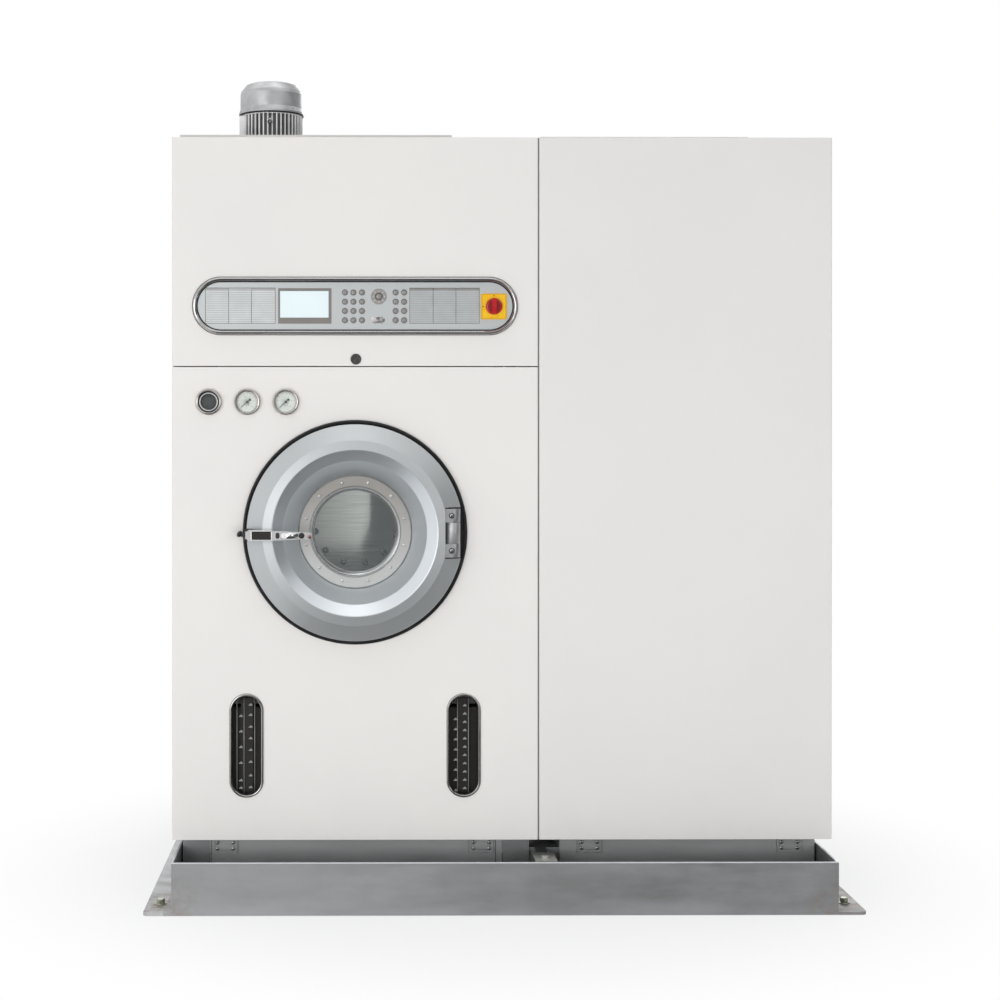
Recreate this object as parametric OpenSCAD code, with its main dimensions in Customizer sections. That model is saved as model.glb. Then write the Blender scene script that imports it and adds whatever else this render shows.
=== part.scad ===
// Dry cleaning machine. The drum cabinet stands on the left and the distillation cabinet on the
// right, both on one welded frame in a drip tray with floor flanges. X runs to the right, Y to the
// back and Z up, in millimetres. The origin is on the floor under the middle of the tray.
// Places on a front panel are given as x and z, and "proud" is the distance in front of its face.

/* [Cabinets] */
// Radius of the perforated drum, which the drum cabinet's width follows
drum_r = 405; // [330:5:500]
// Room between the drum and its shell
drum_gap = 31; // [20:1:50]
// Room between the shell and each side of the drum cabinet
shell_room = 35; // [34:1:120]
// Wall of the drum shell
shell_t = 4; // [3:0.5:6]
// Width of the distillation cabinet
right_w = 762; // [630:2:950]
// Gap between the two cabinets
seam = 3; // [2:0.5:6]
// Height of the cabinets' lower edge above the floor
cab_bottom = 171; // [150:1:210]
// Height of the cabinets' top above the floor
cab_top = 1995; // [1900:5:2400]
// Depth of the cabinets
cab_depth = 1150; // [1100:10:1400]
// Thickness of the cabinet sheet
sheet = 2; // [1.5:0.5:3]
// Depth of the returned edges of every sheet panel
panel_return = 22; // [18:1:30]
// Radius of the bends along a front panel's upright edges
bend_r = 3; // [2.5:0.5:6]
// Height of the joint between the lower and the upper front panel
split_z = 1400; // [1380:5:1450]
// Gap at a panel joint
panel_gap = 3; // [2:0.5:5]

/* [Tray and frame] */
// How far the tray stands out in front of the front panels
tray_front = 100; // [80:5:140]
// Room between the cabinets' back and the tray's back face
tray_back = 50; // [40:5:100]
// How far the cabinets overhang each side of the tray
tray_inset = 7.5; // [2:0.5:15]
// Height of the tray's walls
tray_h = 135; // [100:1:145]
// Thickness of the tray's plate
tray_t = 5; // [3:1:8]
// Width of the floor flange on each side of the tray
flange_w = 72; // [60:1:100]
// Thickness of the floor flanges
flange_t = 8; // [6:1:12]
// Radius of the holes for the floor bolts
anchor_r = 7; // [5:0.5:9]
// Distance of the floor bolts from the flange's ends
anchor_end = 90; // [60:5:200]
// How far the plinth stands back from the front panels
plinth_back = 110; // [90:5:160]
// Width of a frame leg
leg_w = 70; // [60:5:90]
// Height of the frame's beams
beam_h = 60; // [50:5:80]
// Width of an upright in the cabinets
post_w = 28; // [20:1:30]

/* [Loading door] */
// Height of the drum's axis above the floor
drum_z = 970; // [950:5:1000]
// Radius of the door's rim
door_r = 280; // [260:2:340]
// Width of the door's conical outer band
band_w = 41; // [38:1:50]
// Height of the door's crest in front of the panel
crest_p = 64; // [60:1:70]
// Width of the flat crest
crest_w = 26; // [18:1:30]
// Radius of the door's glass that shows
glass_r = 117; // [100:1:130]
// Thickness of the door's glass
glass_t = 8; // [6:1:12]
// Width of the clamp ring round the glass
clamp_w = 29; // [24:1:34]
// Thickness of the cast door wall
door_t = 6; // [5:0.5:8]
// Width of the black rubber ring that shows round the door
seal_w = 11; // [6:1:14]
// Radius of the hinge's barrel
barrel_r = 19; // [16:0.5:20]
// Radius of the hinge's pin
pin_r = 6; // [5:0.5:8]
// Running clearance of a pin in its bore
run_gap = 0.05; // [0.02:0.01:0.1]
// Half the height of the hinge's knuckle
knuckle_h = 27; // [24:1:30]
// Height of each hinge block
block_h = 35; // [30:1:38]
// Length of the latch lever from its pin
lever_l = 166; // [150:1:180]
// Height of the lever at its pin
lever_h = 30; // [26:1:34]

/* [Control panel] */
// Height of the control panel's middle above the floor
panel_z = 1557; // [1520:1:1600]
// Height of the control panel's chrome bezel
bezel_h = 150; // [146:1:170]
// Width of the bezel's bright rim
bezel_w = 12; // [8:0.5:14]
// Distance from the bezel's ends to the drum cabinet's sides
bezel_side = 53; // [30:1:60]
// Radius of a key
key_r = 7.8; // [6:0.1:9.4]
// Room round a key in its hole
key_gap = 0.3; // [0.25:0.05:0.5]
// Gap between the cursor ring and the key in its middle
ring_gap = 0.8; // [0.5:0.1:1.2]
// Distance between the columns of keys
key_dx = 22.2; // [21:0.1:23]
// Distance between the rows of keys
key_dz = 24; // [22:0.5:25]
// Travel of a key
key_travel = 1; // [0.6:0.1:1.2]
// Side of the main switch's square plate
switch_s = 67; // [60:1:72]
// Radius of the main switch's knob
knob_r = 21.4; // [18:0.2:24]

/* [Lower panel fittings] */
// Height of the row of round instruments above the floor
gauge_z = 1308; // [1290:1:1320]
// Radius of an instrument's bezel
gauge_r = 34; // [28:0.5:42]
// Distance between the round instruments
gauge_pitch = 100; // [90:1:110]
// Width of a tank window
window_w = 90; // [76:1:100]
// Height of a tank window
window_h = 271; // [240:1:280]
// Height of the tank windows' middle above the floor
window_z = 416; // [410:1:425]
// Distance of each tank window from the door's centre line
window_dx = 282; // [270:1:300]

/* [Drive and fan] */
// Radius of the drum's pulley
big_pulley_r = 225; // [180:5:260]
// Radius of the drive motor's pulley
small_pulley_r = 60; // [50:2:80]
// Thickness of the drive belt
belt_t = 9; // [7:0.5:11]
// Radius of the fan motor over its fins
fan_motor_r = 85.5; // [75:0.5:100]
// Height of the fan motor's finned body
fan_body_h = 80; // [70:1:120]
// Height of the fan motor's cowl
cowl_h = 85; // [70:1:100]
// Number of cooling fins round the fan motor
fin_count = 44; // [24:2:48]

/* [Hidden] */

$fn = 96;
eps = 0.5; // how far a cutting body runs past the face it opens

// ---- places that follow from the sizes above ----
shell_r = drum_r + drum_gap + shell_t;
left_w = 2 * (shell_r + shell_room);
total_w = left_w + seam + right_w;
left_x0 = -total_w / 2;
left_x1 = left_x0 + left_w;
right_x0 = left_x1 + seam;
right_x1 = total_w / 2;
door_x = (left_x0 + left_x1) / 2;
tray_x = total_w / 2 - tray_inset;
tray_d = tray_front + cab_depth + tray_back;
front_y = -tray_d / 2 + tray_front;
back_y = front_y + cab_depth;
inner_y = front_y + panel_return + 3.2; // where the frame and the side panels begin

// frame
frame_y0 = front_y + plinth_back;
frame_y1 = back_y - 40;
deck_t = 5;
plinth_t = 3;
deck_z = cab_bottom + deck_t;
frame_left = [left_x0 + 17.5, left_x1 - 13.5];
frame_right = [right_x0 + 64.5, right_x1 - 17.5];
post_z1 = cab_top - 12;
frame_gap = 4.5; // room between the frame and the cabinets' sides

// drum shell, collar and door
shell_y0 = front_y + 45;
shell_y1 = front_y + 590;
drum_y0 = shell_y0 + 35;
drum_y1 = shell_y1 - 40;
saddle_y = [shell_y0 + 30, shell_y1 - 60];
saddle_top = drum_z - 0.62 * shell_r;
saddle_t = 12;
back_in_y = back_y - panel_return - 4; // where the frame ends inside the back panels
collar_r = door_r - 50; // mouth of the drum shell
collar_t = 6;
nose_r0 = door_r - 44; // inner radius of the door's pressing edge
nose_r1 = door_r - 30;
mouth_r = collar_r - 15; // front mouth of the drum
seal_top = 12;
nose_p = seal_top + 0.3;
band_p0 = 24; // back face of the door's outer band
rim_p = 30;
axis_dx = door_r - 28; // hinge axis, to the right of the door's centre
axis_p = 38;
pocket_dx = axis_dx - barrel_r - 1.5;
pocket_h = knuckle_h + block_h + 4;
slot_h = knuckle_h + 2;
glass_p = -26; // seat face of the clamp ring
seat_r = glass_r + clamp_w;
leg_dx = axis_dx + 1;
leg_t = 14;
leg_h = 24;
hinge_x = door_x + axis_dx;
hinge_y = front_y - axis_p;

// latch
latch_dx = -(door_r - 4);
latch_p = 62;
latch_pin_r = 4;
latch_x = door_x + latch_dx;
latch_z = drum_z - 4;

// control panel
face_r = bezel_h / 2 - bezel_w;
face_span = left_w - 2 * bezel_side - bezel_h;
face_t = 3;
keys_x = door_x - 26.5;
keys_z = panel_z + 35;
funcs_x = door_x + 105;
cursor_x = door_x + 61.5;
cursor_z = panel_z + 24.5;
cursor_r = 20.1;
centre_r = 9;
switch_x = left_x1 - bezel_side - 62;
switch_z = panel_z - 1.5;
lock_x = door_x + 68;
lock_z = panel_z - 36;
cam_x = door_x + 2;
cam_z = split_z + 19;
cam_r = 13;
display_x0 = door_x - 199.5;
display_x1 = door_x - 61.5;
display_z0 = panel_z - 45.8;
display_z1 = panel_z + 45.8;
pivot_y = front_y + 11;
pivot_z = cab_top - 8;
pivot_r = 3;

// instruments
sight_x = left_x0 + 95.5;
gauge_x = [sight_x + gauge_pitch, sight_x + 2 * gauge_pitch];
needle_turn = 220; // where each needle points, counted anticlockwise from straight right

// drive
drive_y = shell_y1 + 175;
drive_w = 44;
shaft_r = 30;
motor_shaft_r = 14;
motor_z = drum_z - 540;
groove = 6;

// fan
fan_x = door_x - 231.5;
fan_y = front_y + 300;
plate_top = cab_top + 16;
fan_z0 = plate_top;
fan_shaft_r = 12;
fan_hole_r = 22; // clearance hole round the fan's shaft in the roof and the casing

// ---- shared shapes ----
module box(x, y, z) {
    translate([x[0], y[0], z[0]]) cube([x[1] - x[0], y[1] - y[0], z[1] - z[0]]);
}

// A round body whose axis runs to the back; p counts forward from the face of the front panels
module rod_p(x, z, r, p0, p1) {
    translate([x, front_y - p0, z]) rotate([90, 0, 0]) cylinder(r = r, h = p1 - p0);
}

// A turned body on the same kind of axis, from points [radius, proud]
module turned(x, z, points) {
    translate([x, front_y, z]) rotate([90, 0, 0]) rotate_extrude() polygon(points);
}

// A tube whose axis runs to the back
module tube_y(x, z, r1, r0, y0, y1) {
    translate([x, y1, z]) rotate([90, 0, 0]) difference() {
        cylinder(r = r1, h = y1 - y0);
        translate([0, 0, -eps]) cylinder(r = r0, h = y1 - y0 + 2 * eps);
    }
}

module rod_y(x, z, r, y0, y1) {
    translate([x, y1, z]) rotate([90, 0, 0]) cylinder(r = r, h = y1 - y0);
}

// Flat outline with round ends; span is the distance between the ends' centres
module stadium(span, r) {
    square([span, 2 * r], center = true);
    for (side = [-1, 1]) translate([side * span / 2, 0]) circle(r);
}

module slab_p(x, z, span, r, p0, p1, upright = false) {
    translate([x, front_y - p0, z]) rotate([90, 0, 0]) rotate([0, 0, upright ? 90 : 0])
        linear_extrude(p1 - p0) stadium(span, r);
}

// Trim that runs round a stadium outline; the child is its section, x outwards and y forward
module trim_round(x, z, span, upright = false) {
    translate([x, front_y, z]) rotate([90, 0, 0]) rotate([0, 0, upright ? 90 : 0]) {
        for (turn = [0, 180]) rotate([0, 0, turn]) {
            translate([span / 2, 0, 0]) rotate([0, 0, -90]) rotate_extrude(angle = 180) children();
            translate([-span / 2, 0, 0]) rotate([90, 0, 90]) linear_extrude(span) children();
        }
    }
}

// Half of an ellipse on its flat side, for a bright rounded trim
function crown(r0, r1, p0, p1, steps = 10) =
    let (mid = (r0 + r1) / 2, half = (r1 - r0) / 2)
    [for (i = [0:steps]) [mid + half * cos(180 * i / steps), p0 + (p1 - p0) * sin(180 * i / steps)]];

// Outline of a sheet panel from above, with its two front corners bent to a radius
module pan_outline(w, d, r) {
    translate([0, r]) square([w, d - r]);
    translate([r, 0]) square([w - 2 * r, r + eps]);
    for (x = [r, w - r]) translate([x, r]) circle(r, $fn = 32);
}

// A front panel: a face with returned edges on all four sides
module front_pan(x0, x1, z0, z1) {
    difference() {
        translate([x0, front_y, z0]) linear_extrude(z1 - z0)
            pan_outline(x1 - x0, panel_return, bend_r);
        translate([x0 + sheet, front_y + sheet, z0 + sheet]) linear_extrude(z1 - z0 - 2 * sheet)
            pan_outline(x1 - x0 - 2 * sheet, panel_return, bend_r - sheet);
    }
}

// A pan that opens towards the middle of the machine, for the sides, the back and the roof
module flat_pan(x, y, z, open) {
    difference() {
        box(x, y, z);
        translate([open[0] * eps, open[1] * eps, open[2] * eps])
            box([x[0] + (open[0] == -1 ? -sheet : sheet), x[1] - (open[0] == 1 ? -sheet : sheet)],
                [y[0] + (open[1] == -1 ? -sheet : sheet), y[1] - (open[1] == 1 ? -sheet : sheet)],
                [z[0] + (open[2] == -1 ? -sheet : sheet), z[1] - (open[2] == 1 ? -sheet : sheet)]);
    }
}

module screw_head_p(x, z, r, p0, h) {
    turned(x, z, [[0, p0], [r, p0], [r, p0 + 0.4 * h], [0.6 * r, p0 + 0.9 * h], [0, p0 + h]]);
}

// ---- tray and frame ----
module drip_tray() {
    color([0.50, 0.50, 0.50]) {
        difference() {
            box([-tray_x, tray_x], [-tray_d / 2, tray_d / 2], [0, tray_h]);
            box([-tray_x + tray_t, tray_x - tray_t], [-tray_d / 2 + tray_t, tray_d / 2 - tray_t],
                [tray_t, tray_h + eps]);
        }
        for (side = [0, 1]) mirror([side, 0, 0]) floor_flange();
    }
}

module floor_flange() {
    corner = 14;
    x1 = tray_x + flange_w;
    difference() {
        union() {
            box([tray_x, x1 - corner], [-tray_d / 2, tray_d / 2], [0, flange_t]);
            box([x1 - corner - eps, x1], [-tray_d / 2 + corner, tray_d / 2 - corner], [0, flange_t]);
            for (end = [-1, 1]) translate([x1 - corner, end * (tray_d / 2 - corner), 0])
                cylinder(r = corner, h = flange_t);
        }
        for (end = [-1, 1])
            translate([tray_x + flange_w / 2, end * (tray_d / 2 - anchor_end), -eps])
                cylinder(r = anchor_r, h = flange_t + 2 * eps);
    }
}

module leg(x, y) {
    box([x, x + leg_w], [y, y + leg_w], [tray_t, cab_bottom - beam_h + eps]);
}

module base_ring(x) {
    difference() {
        box(x, [frame_y0, frame_y1], [cab_bottom - beam_h, cab_bottom]);
        box([x[0] + leg_w, x[1] - leg_w], [frame_y0 + leg_w, frame_y1 - leg_w],
            [cab_bottom - beam_h - eps, cab_bottom + eps]);
    }
    for (lx = [x[0], x[1] - leg_w], ly = [frame_y0, frame_y1 - leg_w]) leg(lx, ly);
}

module uprights(x0, x1) {
    in = frame_gap;
    for (x = [x0 + in, x1 - in - post_w], y = [inner_y, back_in_y - post_w])
        box([x, x + post_w], [y, y + post_w], [deck_z - eps, post_z1]);
    for (x = [x0 + in, x1 - in - post_w])
        box([x, x + post_w], [inner_y, back_in_y], [post_z1 - post_w, post_z1]);
    for (y = [inner_y, back_in_y - post_w])
        box([x0 + in, x1 - in], [y, y + post_w], [post_z1 - post_w, post_z1]);
}

// Cross beam and cheeks that carry the round drum shell
module saddle(y) {
    t = saddle_t;
    beam_z = drum_z - shell_r - 16;
    x = [left_x0 + frame_gap, left_x1 - frame_gap];
    difference() {
        box(x, [y, y + t], [beam_z, saddle_top]);
        rod_y(door_x, drum_z, shell_r + 0.3, y - eps, y + t + eps);
    }
    for (side_x = [x[0], x[1] - t]) box([side_x, side_x + t], [y, y + t], [deck_z - eps, saddle_top]);
}

// Plate that joins the two halves of the frame, with its bolt
module joining_bracket() {
    y0 = front_y - 50;
    top = tray_h - 8;
    t = 4;
    x = [frame_left[1] + 3, frame_left[1] + 59];
    box(x, [y0, y0 + 97], [top - t, top]);
    box(x, [y0, y0 + t], [tray_t, top]);
    box([x[0] + 13, x[1] - 13], [y0, frame_y0 + 60], [top - 50, top - t]);
    box([frame_left[1], frame_right[0]], [frame_y0 + 10, frame_y0 + 60], [top - 50, top - t]);
    translate([frame_left[1] + 30, front_y - 20, top]) cylinder(r = 9, h = 7, $fn = 6);
}

// Pivot pin of the upper front panel, on a bracket that stands clear of the panel's edges. Its foot
// keeps off the side panel's folded edge
module pivot_bracket(side) {
    w = 8;
    half = 4;
    drop = 44;
    clear = 0.6;
    x0 = side < 0 ? left_x0 + sheet + clear : left_x1 - sheet - clear - w;
    foot_x0 = side < 0 ? left_x0 + frame_gap : x0;
    pin_x = side < 0 ? left_x0 + 0.3 : left_x1 - sheet - 0.7;
    box([x0, x0 + w], [pivot_y - half, pivot_y + half], [pivot_z - drop, pivot_z + half]);
    box([foot_x0, x0 + w], [pivot_y - half, inner_y + half], [pivot_z - drop, pivot_z - drop + 12]);
    translate([pin_x, pivot_y, pivot_z]) rotate([0, 90, 0]) cylinder(r = pivot_r, h = sheet + 0.4);
}

module machine_frame() {
    color([0.42, 0.42, 0.43]) {
        base_ring(frame_left);
        base_ring(frame_right);
        joining_bracket();
        for (x = [[left_x0, left_x1], [right_x0, right_x1]])
            box([x[0] + frame_gap, x[1] - frame_gap], [inner_y, back_in_y], [cab_bottom, deck_z]);
        uprights(left_x0, left_x1);
        uprights(right_x0, right_x1);
        for (y = saddle_y) saddle(y);
        for (side = [-1, 1]) pivot_bracket(side);
    }
}

module plinth_bracket(x) {
    w = 66;
    t = 4;
    z0 = cab_bottom - 58;
    box([x, x + w], [frame_y0 - plinth_t - t, frame_y0 - plinth_t], [z0, cab_bottom - 1]);
    for (sx = [12, w - 12], sz = [12, 28, 46])
        screw_head_p(x + sx, z0 + sz, 4.5, plinth_t + t - plinth_back, 3);
}

module plinth_panels() {
    color([0.47, 0.48, 0.48]) {
        for (x = [[frame_left[0] + leg_w + 2, frame_left[1] - leg_w - 2],
                  [frame_right[0] + 1, frame_right[1] - 1]])
            difference() {
                box([x[0], x[1]], [frame_y0 - plinth_t, frame_y0], [tray_t + 4, cab_bottom - 1]);
                box([x[0] + 30, x[1] - 30], [frame_y0 - plinth_t - eps, frame_y0 + eps],
                    [tray_t, tray_t + 16]);
            }
        plinth_bracket(frame_left[0] + leg_w + 10);
        plinth_bracket(frame_left[1] - leg_w - 90);
        plinth_bracket(frame_right[0] + 46);
        plinth_bracket(frame_right[1] - 102);
    }
}

// ---- cladding ----
module lower_front_panel() {
    hole_r = collar_r + 1.5;
    color([0.89, 0.87, 0.86]) difference() {
        front_pan(left_x0, left_x1, cab_bottom, split_z - panel_gap / 2);
        rod_p(door_x, drum_z, hole_r, -panel_return - eps, eps);
        for (x = concat([sight_x], gauge_x))
            rod_p(x, gauge_z, gauge_r - 3.5, -panel_return - eps, eps);
        for (side = [-1, 1])
            slab_p(door_x + side * window_dx, window_z, window_h - window_w, window_w / 2 - 6,
                -panel_return - eps, eps, upright = true);
        box([door_x + leg_dx - 2, door_x + leg_dx + leg_t + 2],
            [front_y - eps, front_y + panel_return], [drum_z - leg_h - 2, drum_z + leg_h + 2]);
    }
}

module right_front_panel() {
    color([0.88, 0.865, 0.855]) front_pan(right_x0, right_x1, cab_bottom, cab_top);
}

module louvres(x, y, z, rows) {
    for (i = [0:rows - 1]) box(x, y, [z + 26 * i, z + 26 * i + 8]);
}

module cabinet_panels() {
    y = [inner_y, back_y - panel_return - 2];
    z = [cab_bottom, cab_top - 2];
    color([0.86, 0.85, 0.84]) {
        flat_pan([left_x0, left_x0 + 4], y, z, [1, 0, 0]);
        flat_pan([right_x1 - 4, right_x1], y, z, [-1, 0, 0]);
        difference() {
            flat_pan([left_x0, left_x1], [back_y - panel_return, back_y], z, [0, -1, 0]);
            louvres([door_x - 150, door_x + 150], [back_y - 4 * sheet, back_y + eps],
                cab_bottom + 160, 8);
        }
        difference() {
            flat_pan([right_x0, right_x1], [back_y - panel_return, back_y], z, [0, -1, 0]);
            louvres([right_x0 + 220, right_x1 - 220], [back_y - 4 * sheet, back_y + eps],
                cab_top - 420, 8);
            for (pipe = pipes) rod_y(pipe[0], pipe_z, pipe[1] + 2, back_y - panel_return, back_y + eps);
        }
    }
}

module roof_covers() {
    y = [inner_y, back_y];
    color([0.84, 0.835, 0.825]) {
        difference() {
            union() {
                box([left_x0 + 0.5, left_x1], y, [cab_top - 2, cab_top]);
                box([left_x0 + 15, left_x1 - 221], [front_y + 60, front_y + 700],
                    [cab_top, plate_top]);
            }
            translate([fan_x, fan_y, cab_top - 10]) cylinder(r = fan_hole_r, h = 60);
        }
        box([right_x0, right_x1], y, [cab_top - 2, cab_top]);
        box([right_x0 + 7, right_x1 - 206], [front_y + 60, front_y + 520],
            [cab_top, cab_top + 11.5]);
    }
}

// ---- lower panel fittings ----
function gauge_section(dial_p) = [
    [0, -36], [gauge_r - 4, -36], [gauge_r - 4, 0], [gauge_r - 0.6, 0], [gauge_r, 0.8],
    [gauge_r, 9], [gauge_r - 1.2, 11.4], [gauge_r - 3, 12.4], [gauge_r - 5, 12],
    [gauge_r - 6.2, 10.5], [gauge_r - 6.4, dial_p], [0, dial_p]];

module instruments() {
    color([0.72, 0.73, 0.73]) {
        for (x = gauge_x) {
            turned(x, gauge_z, gauge_section(4));
            rod_p(x, gauge_z, 1.5, 4, 8);
            rod_p(x, gauge_z, gauge_r / 3, -43, -36);
        }
        turned(sight_x, gauge_z, [
            [0, -36], [gauge_r - 4, -36], [gauge_r - 4, 0], [gauge_r - 0.6, 0], [gauge_r, 0.8],
            [gauge_r, 8], [gauge_r - 1.5, 10.5], [gauge_r - 4, 11.4], [gauge_r - 6, 10.6],
            [gauge_r - 8, 8], [gauge_r - 12, 7], [gauge_r - 12.6, 3], [0, 3]]);
    }
}

module needle(x) {
    reach = gauge_r - 12;
    tail = 8.5;
    p = 5;
    t = 1.2;
    color([0.12, 0.12, 0.13]) difference() {
        union() {
            rod_p(x, gauge_z, 3.4, p, p + t + 1);
            translate([x, front_y - p, gauge_z]) rotate([90, 90 - needle_turn, 0])
                linear_extrude(t) {
                    polygon([[-1.2, -tail], [1.2, -tail], [0.5, reach], [-0.5, reach]]);
                    translate([0, -tail]) circle(3);
                }
        }
        rod_p(x, gauge_z, 1.5 + run_gap, p - eps, p + t + 2);
    }
}

module needle_left() { needle(gauge_x[0]); }
module needle_right() { needle(gauge_x[1]); }

module window_bezels() {
    r = window_w / 2;
    color([0.75, 0.76, 0.77]) for (side = [-1, 1])
        trim_round(door_x + side * window_dx, window_z, window_h - window_w, upright = true)
            polygon(concat(crown(r - 8, r, 0, 5), [[r - 8, -10], [r - 6.6, -10], [r - 6.6, 0]]));
}

tank_y0 = inner_y + 6;

// Level glass seen through a tank window, with the cut marks of its scale
module sight_column(x) {
    z0 = window_z - window_h / 2 + 14;
    z1 = window_z + window_h / 2 - 14;
    box([x - 16, x + 16], [tank_y0 - 8, tank_y0 + eps], [z0, z1]);
    for (sx = [-11, 11], i = [0:7])
        rod_p(x + sx, z0 + 14 + 30 * i, 3.2, front_y - tank_y0 + 8, front_y - tank_y0 + 11);
}

// Welded tank, open at the neck on its top
module solvent_tank(x) {
    wall = 3;
    top = drum_z - shell_r - 20;
    y = [tank_y0, shell_y1 - 75];
    mid = (x[0] + x[1]) / 2;
    difference() {
        box(x, y, [deck_z, top]);
        box([x[0] + wall, x[1] - wall], [y[0] + wall, y[1] - wall], [deck_z + wall, top - wall]);
        translate([mid, y[1] - 60, top - 10]) cylinder(r = 30, h = 20);
    }
}

module solvent_tanks() {
    color([0.20, 0.20, 0.21]) {
        solvent_tank([left_x0 + 40, door_x - 6]);
        solvent_tank([door_x + 6, left_x1 - 40]);
        for (side = [-1, 1]) sight_column(door_x + side * window_dx);
    }
}

// ---- drum, shell and door ----
module drum_shell() {
    color([0.62, 0.63, 0.64]) {
        difference() {
            rod_y(door_x, drum_z, shell_r, shell_y0, shell_y1);
            rod_y(door_x, drum_z, shell_r - shell_t, shell_y0 + shell_t, shell_y1 - shell_t);
            rod_y(door_x, drum_z, collar_r - collar_t, shell_y0 - eps, shell_y0 + 2 * shell_t);
            rod_y(door_x, drum_z, shaft_r + 11, shell_y1 - 2 * shell_t, shell_y1 + eps);
        }
        tube_y(door_x, drum_z, collar_r, collar_r - collar_t, front_y - seal_top + 1, shell_y0);
        for (side = [-1, 1], y = saddle_y) shell_lug(side, y);
        bearing_housing();
        air_duct();
    }
}

// Lug that rests on a saddle's shoulder
module shell_lug(side, y) {
    root = 30;
    reach = 55;
    rise = sqrt(pow(shell_r, 2) - pow(drum_z - saddle_top, 2));
    x0 = door_x + side * rise + (side < 0 ? -reach : -root);
    difference() {
        box([x0, x0 + root + reach], [y, y + saddle_t], [saddle_top, saddle_top + 40]);
        rod_y(door_x, drum_z, shell_r - 1, y - eps, y + saddle_t + eps);
    }
}

// Housing with two bearing seats behind the shell's back plate
module bearing_housing() {
    bore_r = 40;
    tube_r = 62;
    foot_r = 110;
    rib_t = 10;
    tube_y(door_x, drum_z, tube_r, bore_r, shell_y1, shell_y1 + 130);
    tube_y(door_x, drum_z, foot_r, tube_r - 1, shell_y1, shell_y1 + 16);
    for (turn = [0:60:300]) translate([door_x, 0, drum_z]) rotate([0, turn, 0])
        translate([tube_r - 2, shell_y1 + 15, -rib_t / 2]) cube([foot_r - tube_r - 4, 70, rib_t]);
    for (y = [shell_y1 + 10, shell_y1 + 90])
        tube_y(door_x, drum_z, bore_r, shaft_r + run_gap, y, y + 24);
}

// Duct from the shell's top to the fan's round casing
module air_duct() {
    half = 120;
    wall = 3;
    casing_r = 150;
    casing_h = 180;
    casing_t = 4;
    casing_z = cab_top - 16 - casing_h;
    z0 = drum_z + sqrt(pow(shell_r, 2) - pow(door_x - fan_x + half, 2)) - 6;
    difference() {
        union() {
            box([fan_x - half, fan_x + half], [fan_y - half, fan_y + half], [z0, casing_z + 1]);
            translate([fan_x, fan_y, casing_z]) cylinder(r = casing_r, h = casing_h);
        }
        box([fan_x - half + wall, fan_x + half - wall], [fan_y - half + wall, fan_y + half - wall],
            [z0 - eps, casing_z - casing_t]);
        translate([fan_x, fan_y, casing_z]) {
            translate([0, 0, -10]) cylinder(r = 60, h = 20);
            translate([0, 0, casing_t]) cylinder(r = casing_r - casing_t, h = casing_h - 2 * casing_t);
            translate([0, 0, casing_h - 80]) cylinder(r = fan_hole_r, h = 100);
        }
        rod_y(door_x, drum_z, shell_r - 1, front_y, back_y);
    }
}

module drum() {
    color([0.74, 0.75, 0.76]) {
        difference() {
            rod_y(door_x, drum_z, drum_r, drum_y0, drum_y1);
            rod_y(door_x, drum_z, drum_r - 2, drum_y0 + 3, drum_y1 - 4);
            rod_y(door_x, drum_z, mouth_r, drum_y0 - eps, drum_y0 + 10);
            drum_holes();
        }
        for (turn = [90, 210, 330]) translate([door_x, 0, drum_z]) rotate([0, turn, 0]) lifter();
        tube_y(door_x, drum_z, mouth_r + 4, mouth_r, drum_y0 - 8, drum_y0 + 1);
        rod_y(door_x, drum_z, shaft_r, drum_y1, shell_y1 + 225);
        rod_y(door_x, drum_z, 90, drum_y1, drum_y1 + 12);
    }
}

// Rows of perforations in the drum's mantle, clear of the lifters' feet
module drum_holes() {
    rows = 4;
    pitch = (drum_y1 - drum_y0 - 120) / (rows - 1);
    translate([door_x, 0, drum_z]) for (row = [0:rows - 1], rib = [90, 210, 330], i = [0:4])
        rotate([0, rib + 26 + i * 17, 0])
            translate([drum_r - 8, drum_y0 + 60 + row * pitch, 0]) rotate([0, 90, 0])
                cylinder(r = 7, h = 16);
}

// Rib inside the drum that lifts the load
module lifter() {
    h = 90;
    base = drum_r - 4;
    translate([0, drum_y1 - 20, 0]) rotate([90, 0, 0]) linear_extrude(drum_y1 - drum_y0 - 40)
        polygon([[base, -45], [base - h + 18, -16], [base - h + 4, -10], [base - h, 0],
                 [base - h + 4, 10], [base - h + 18, 16], [base, 45]]);
}

module door_seal() {
    outer = door_r + seal_w;
    color([0.07, 0.07, 0.07]) difference() {
        turned(door_x, drum_z, [
            [collar_r + 0.3, 0], [outer, 0], [outer, seal_top - 4], [outer - 1.5, seal_top - 1],
            [outer - 4, seal_top], [outer - 8, seal_top - 1], [outer - 10, seal_top - 3],
            [nose_r1 + 8, seal_top - 3], [nose_r1 + 4, seal_top - 0.6], [nose_r1, seal_top],
            [nose_r0 - 2, seal_top], [collar_r + 0.3, seal_top - 1.5]]);
        box([door_x + leg_dx - 1.5, door_x + leg_dx + leg_t + 1.5],
            [front_y - seal_top - eps, front_y + eps], [drum_z - leg_h - 1.5, drum_z + leg_h + 1.5]);
    }
}

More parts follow.
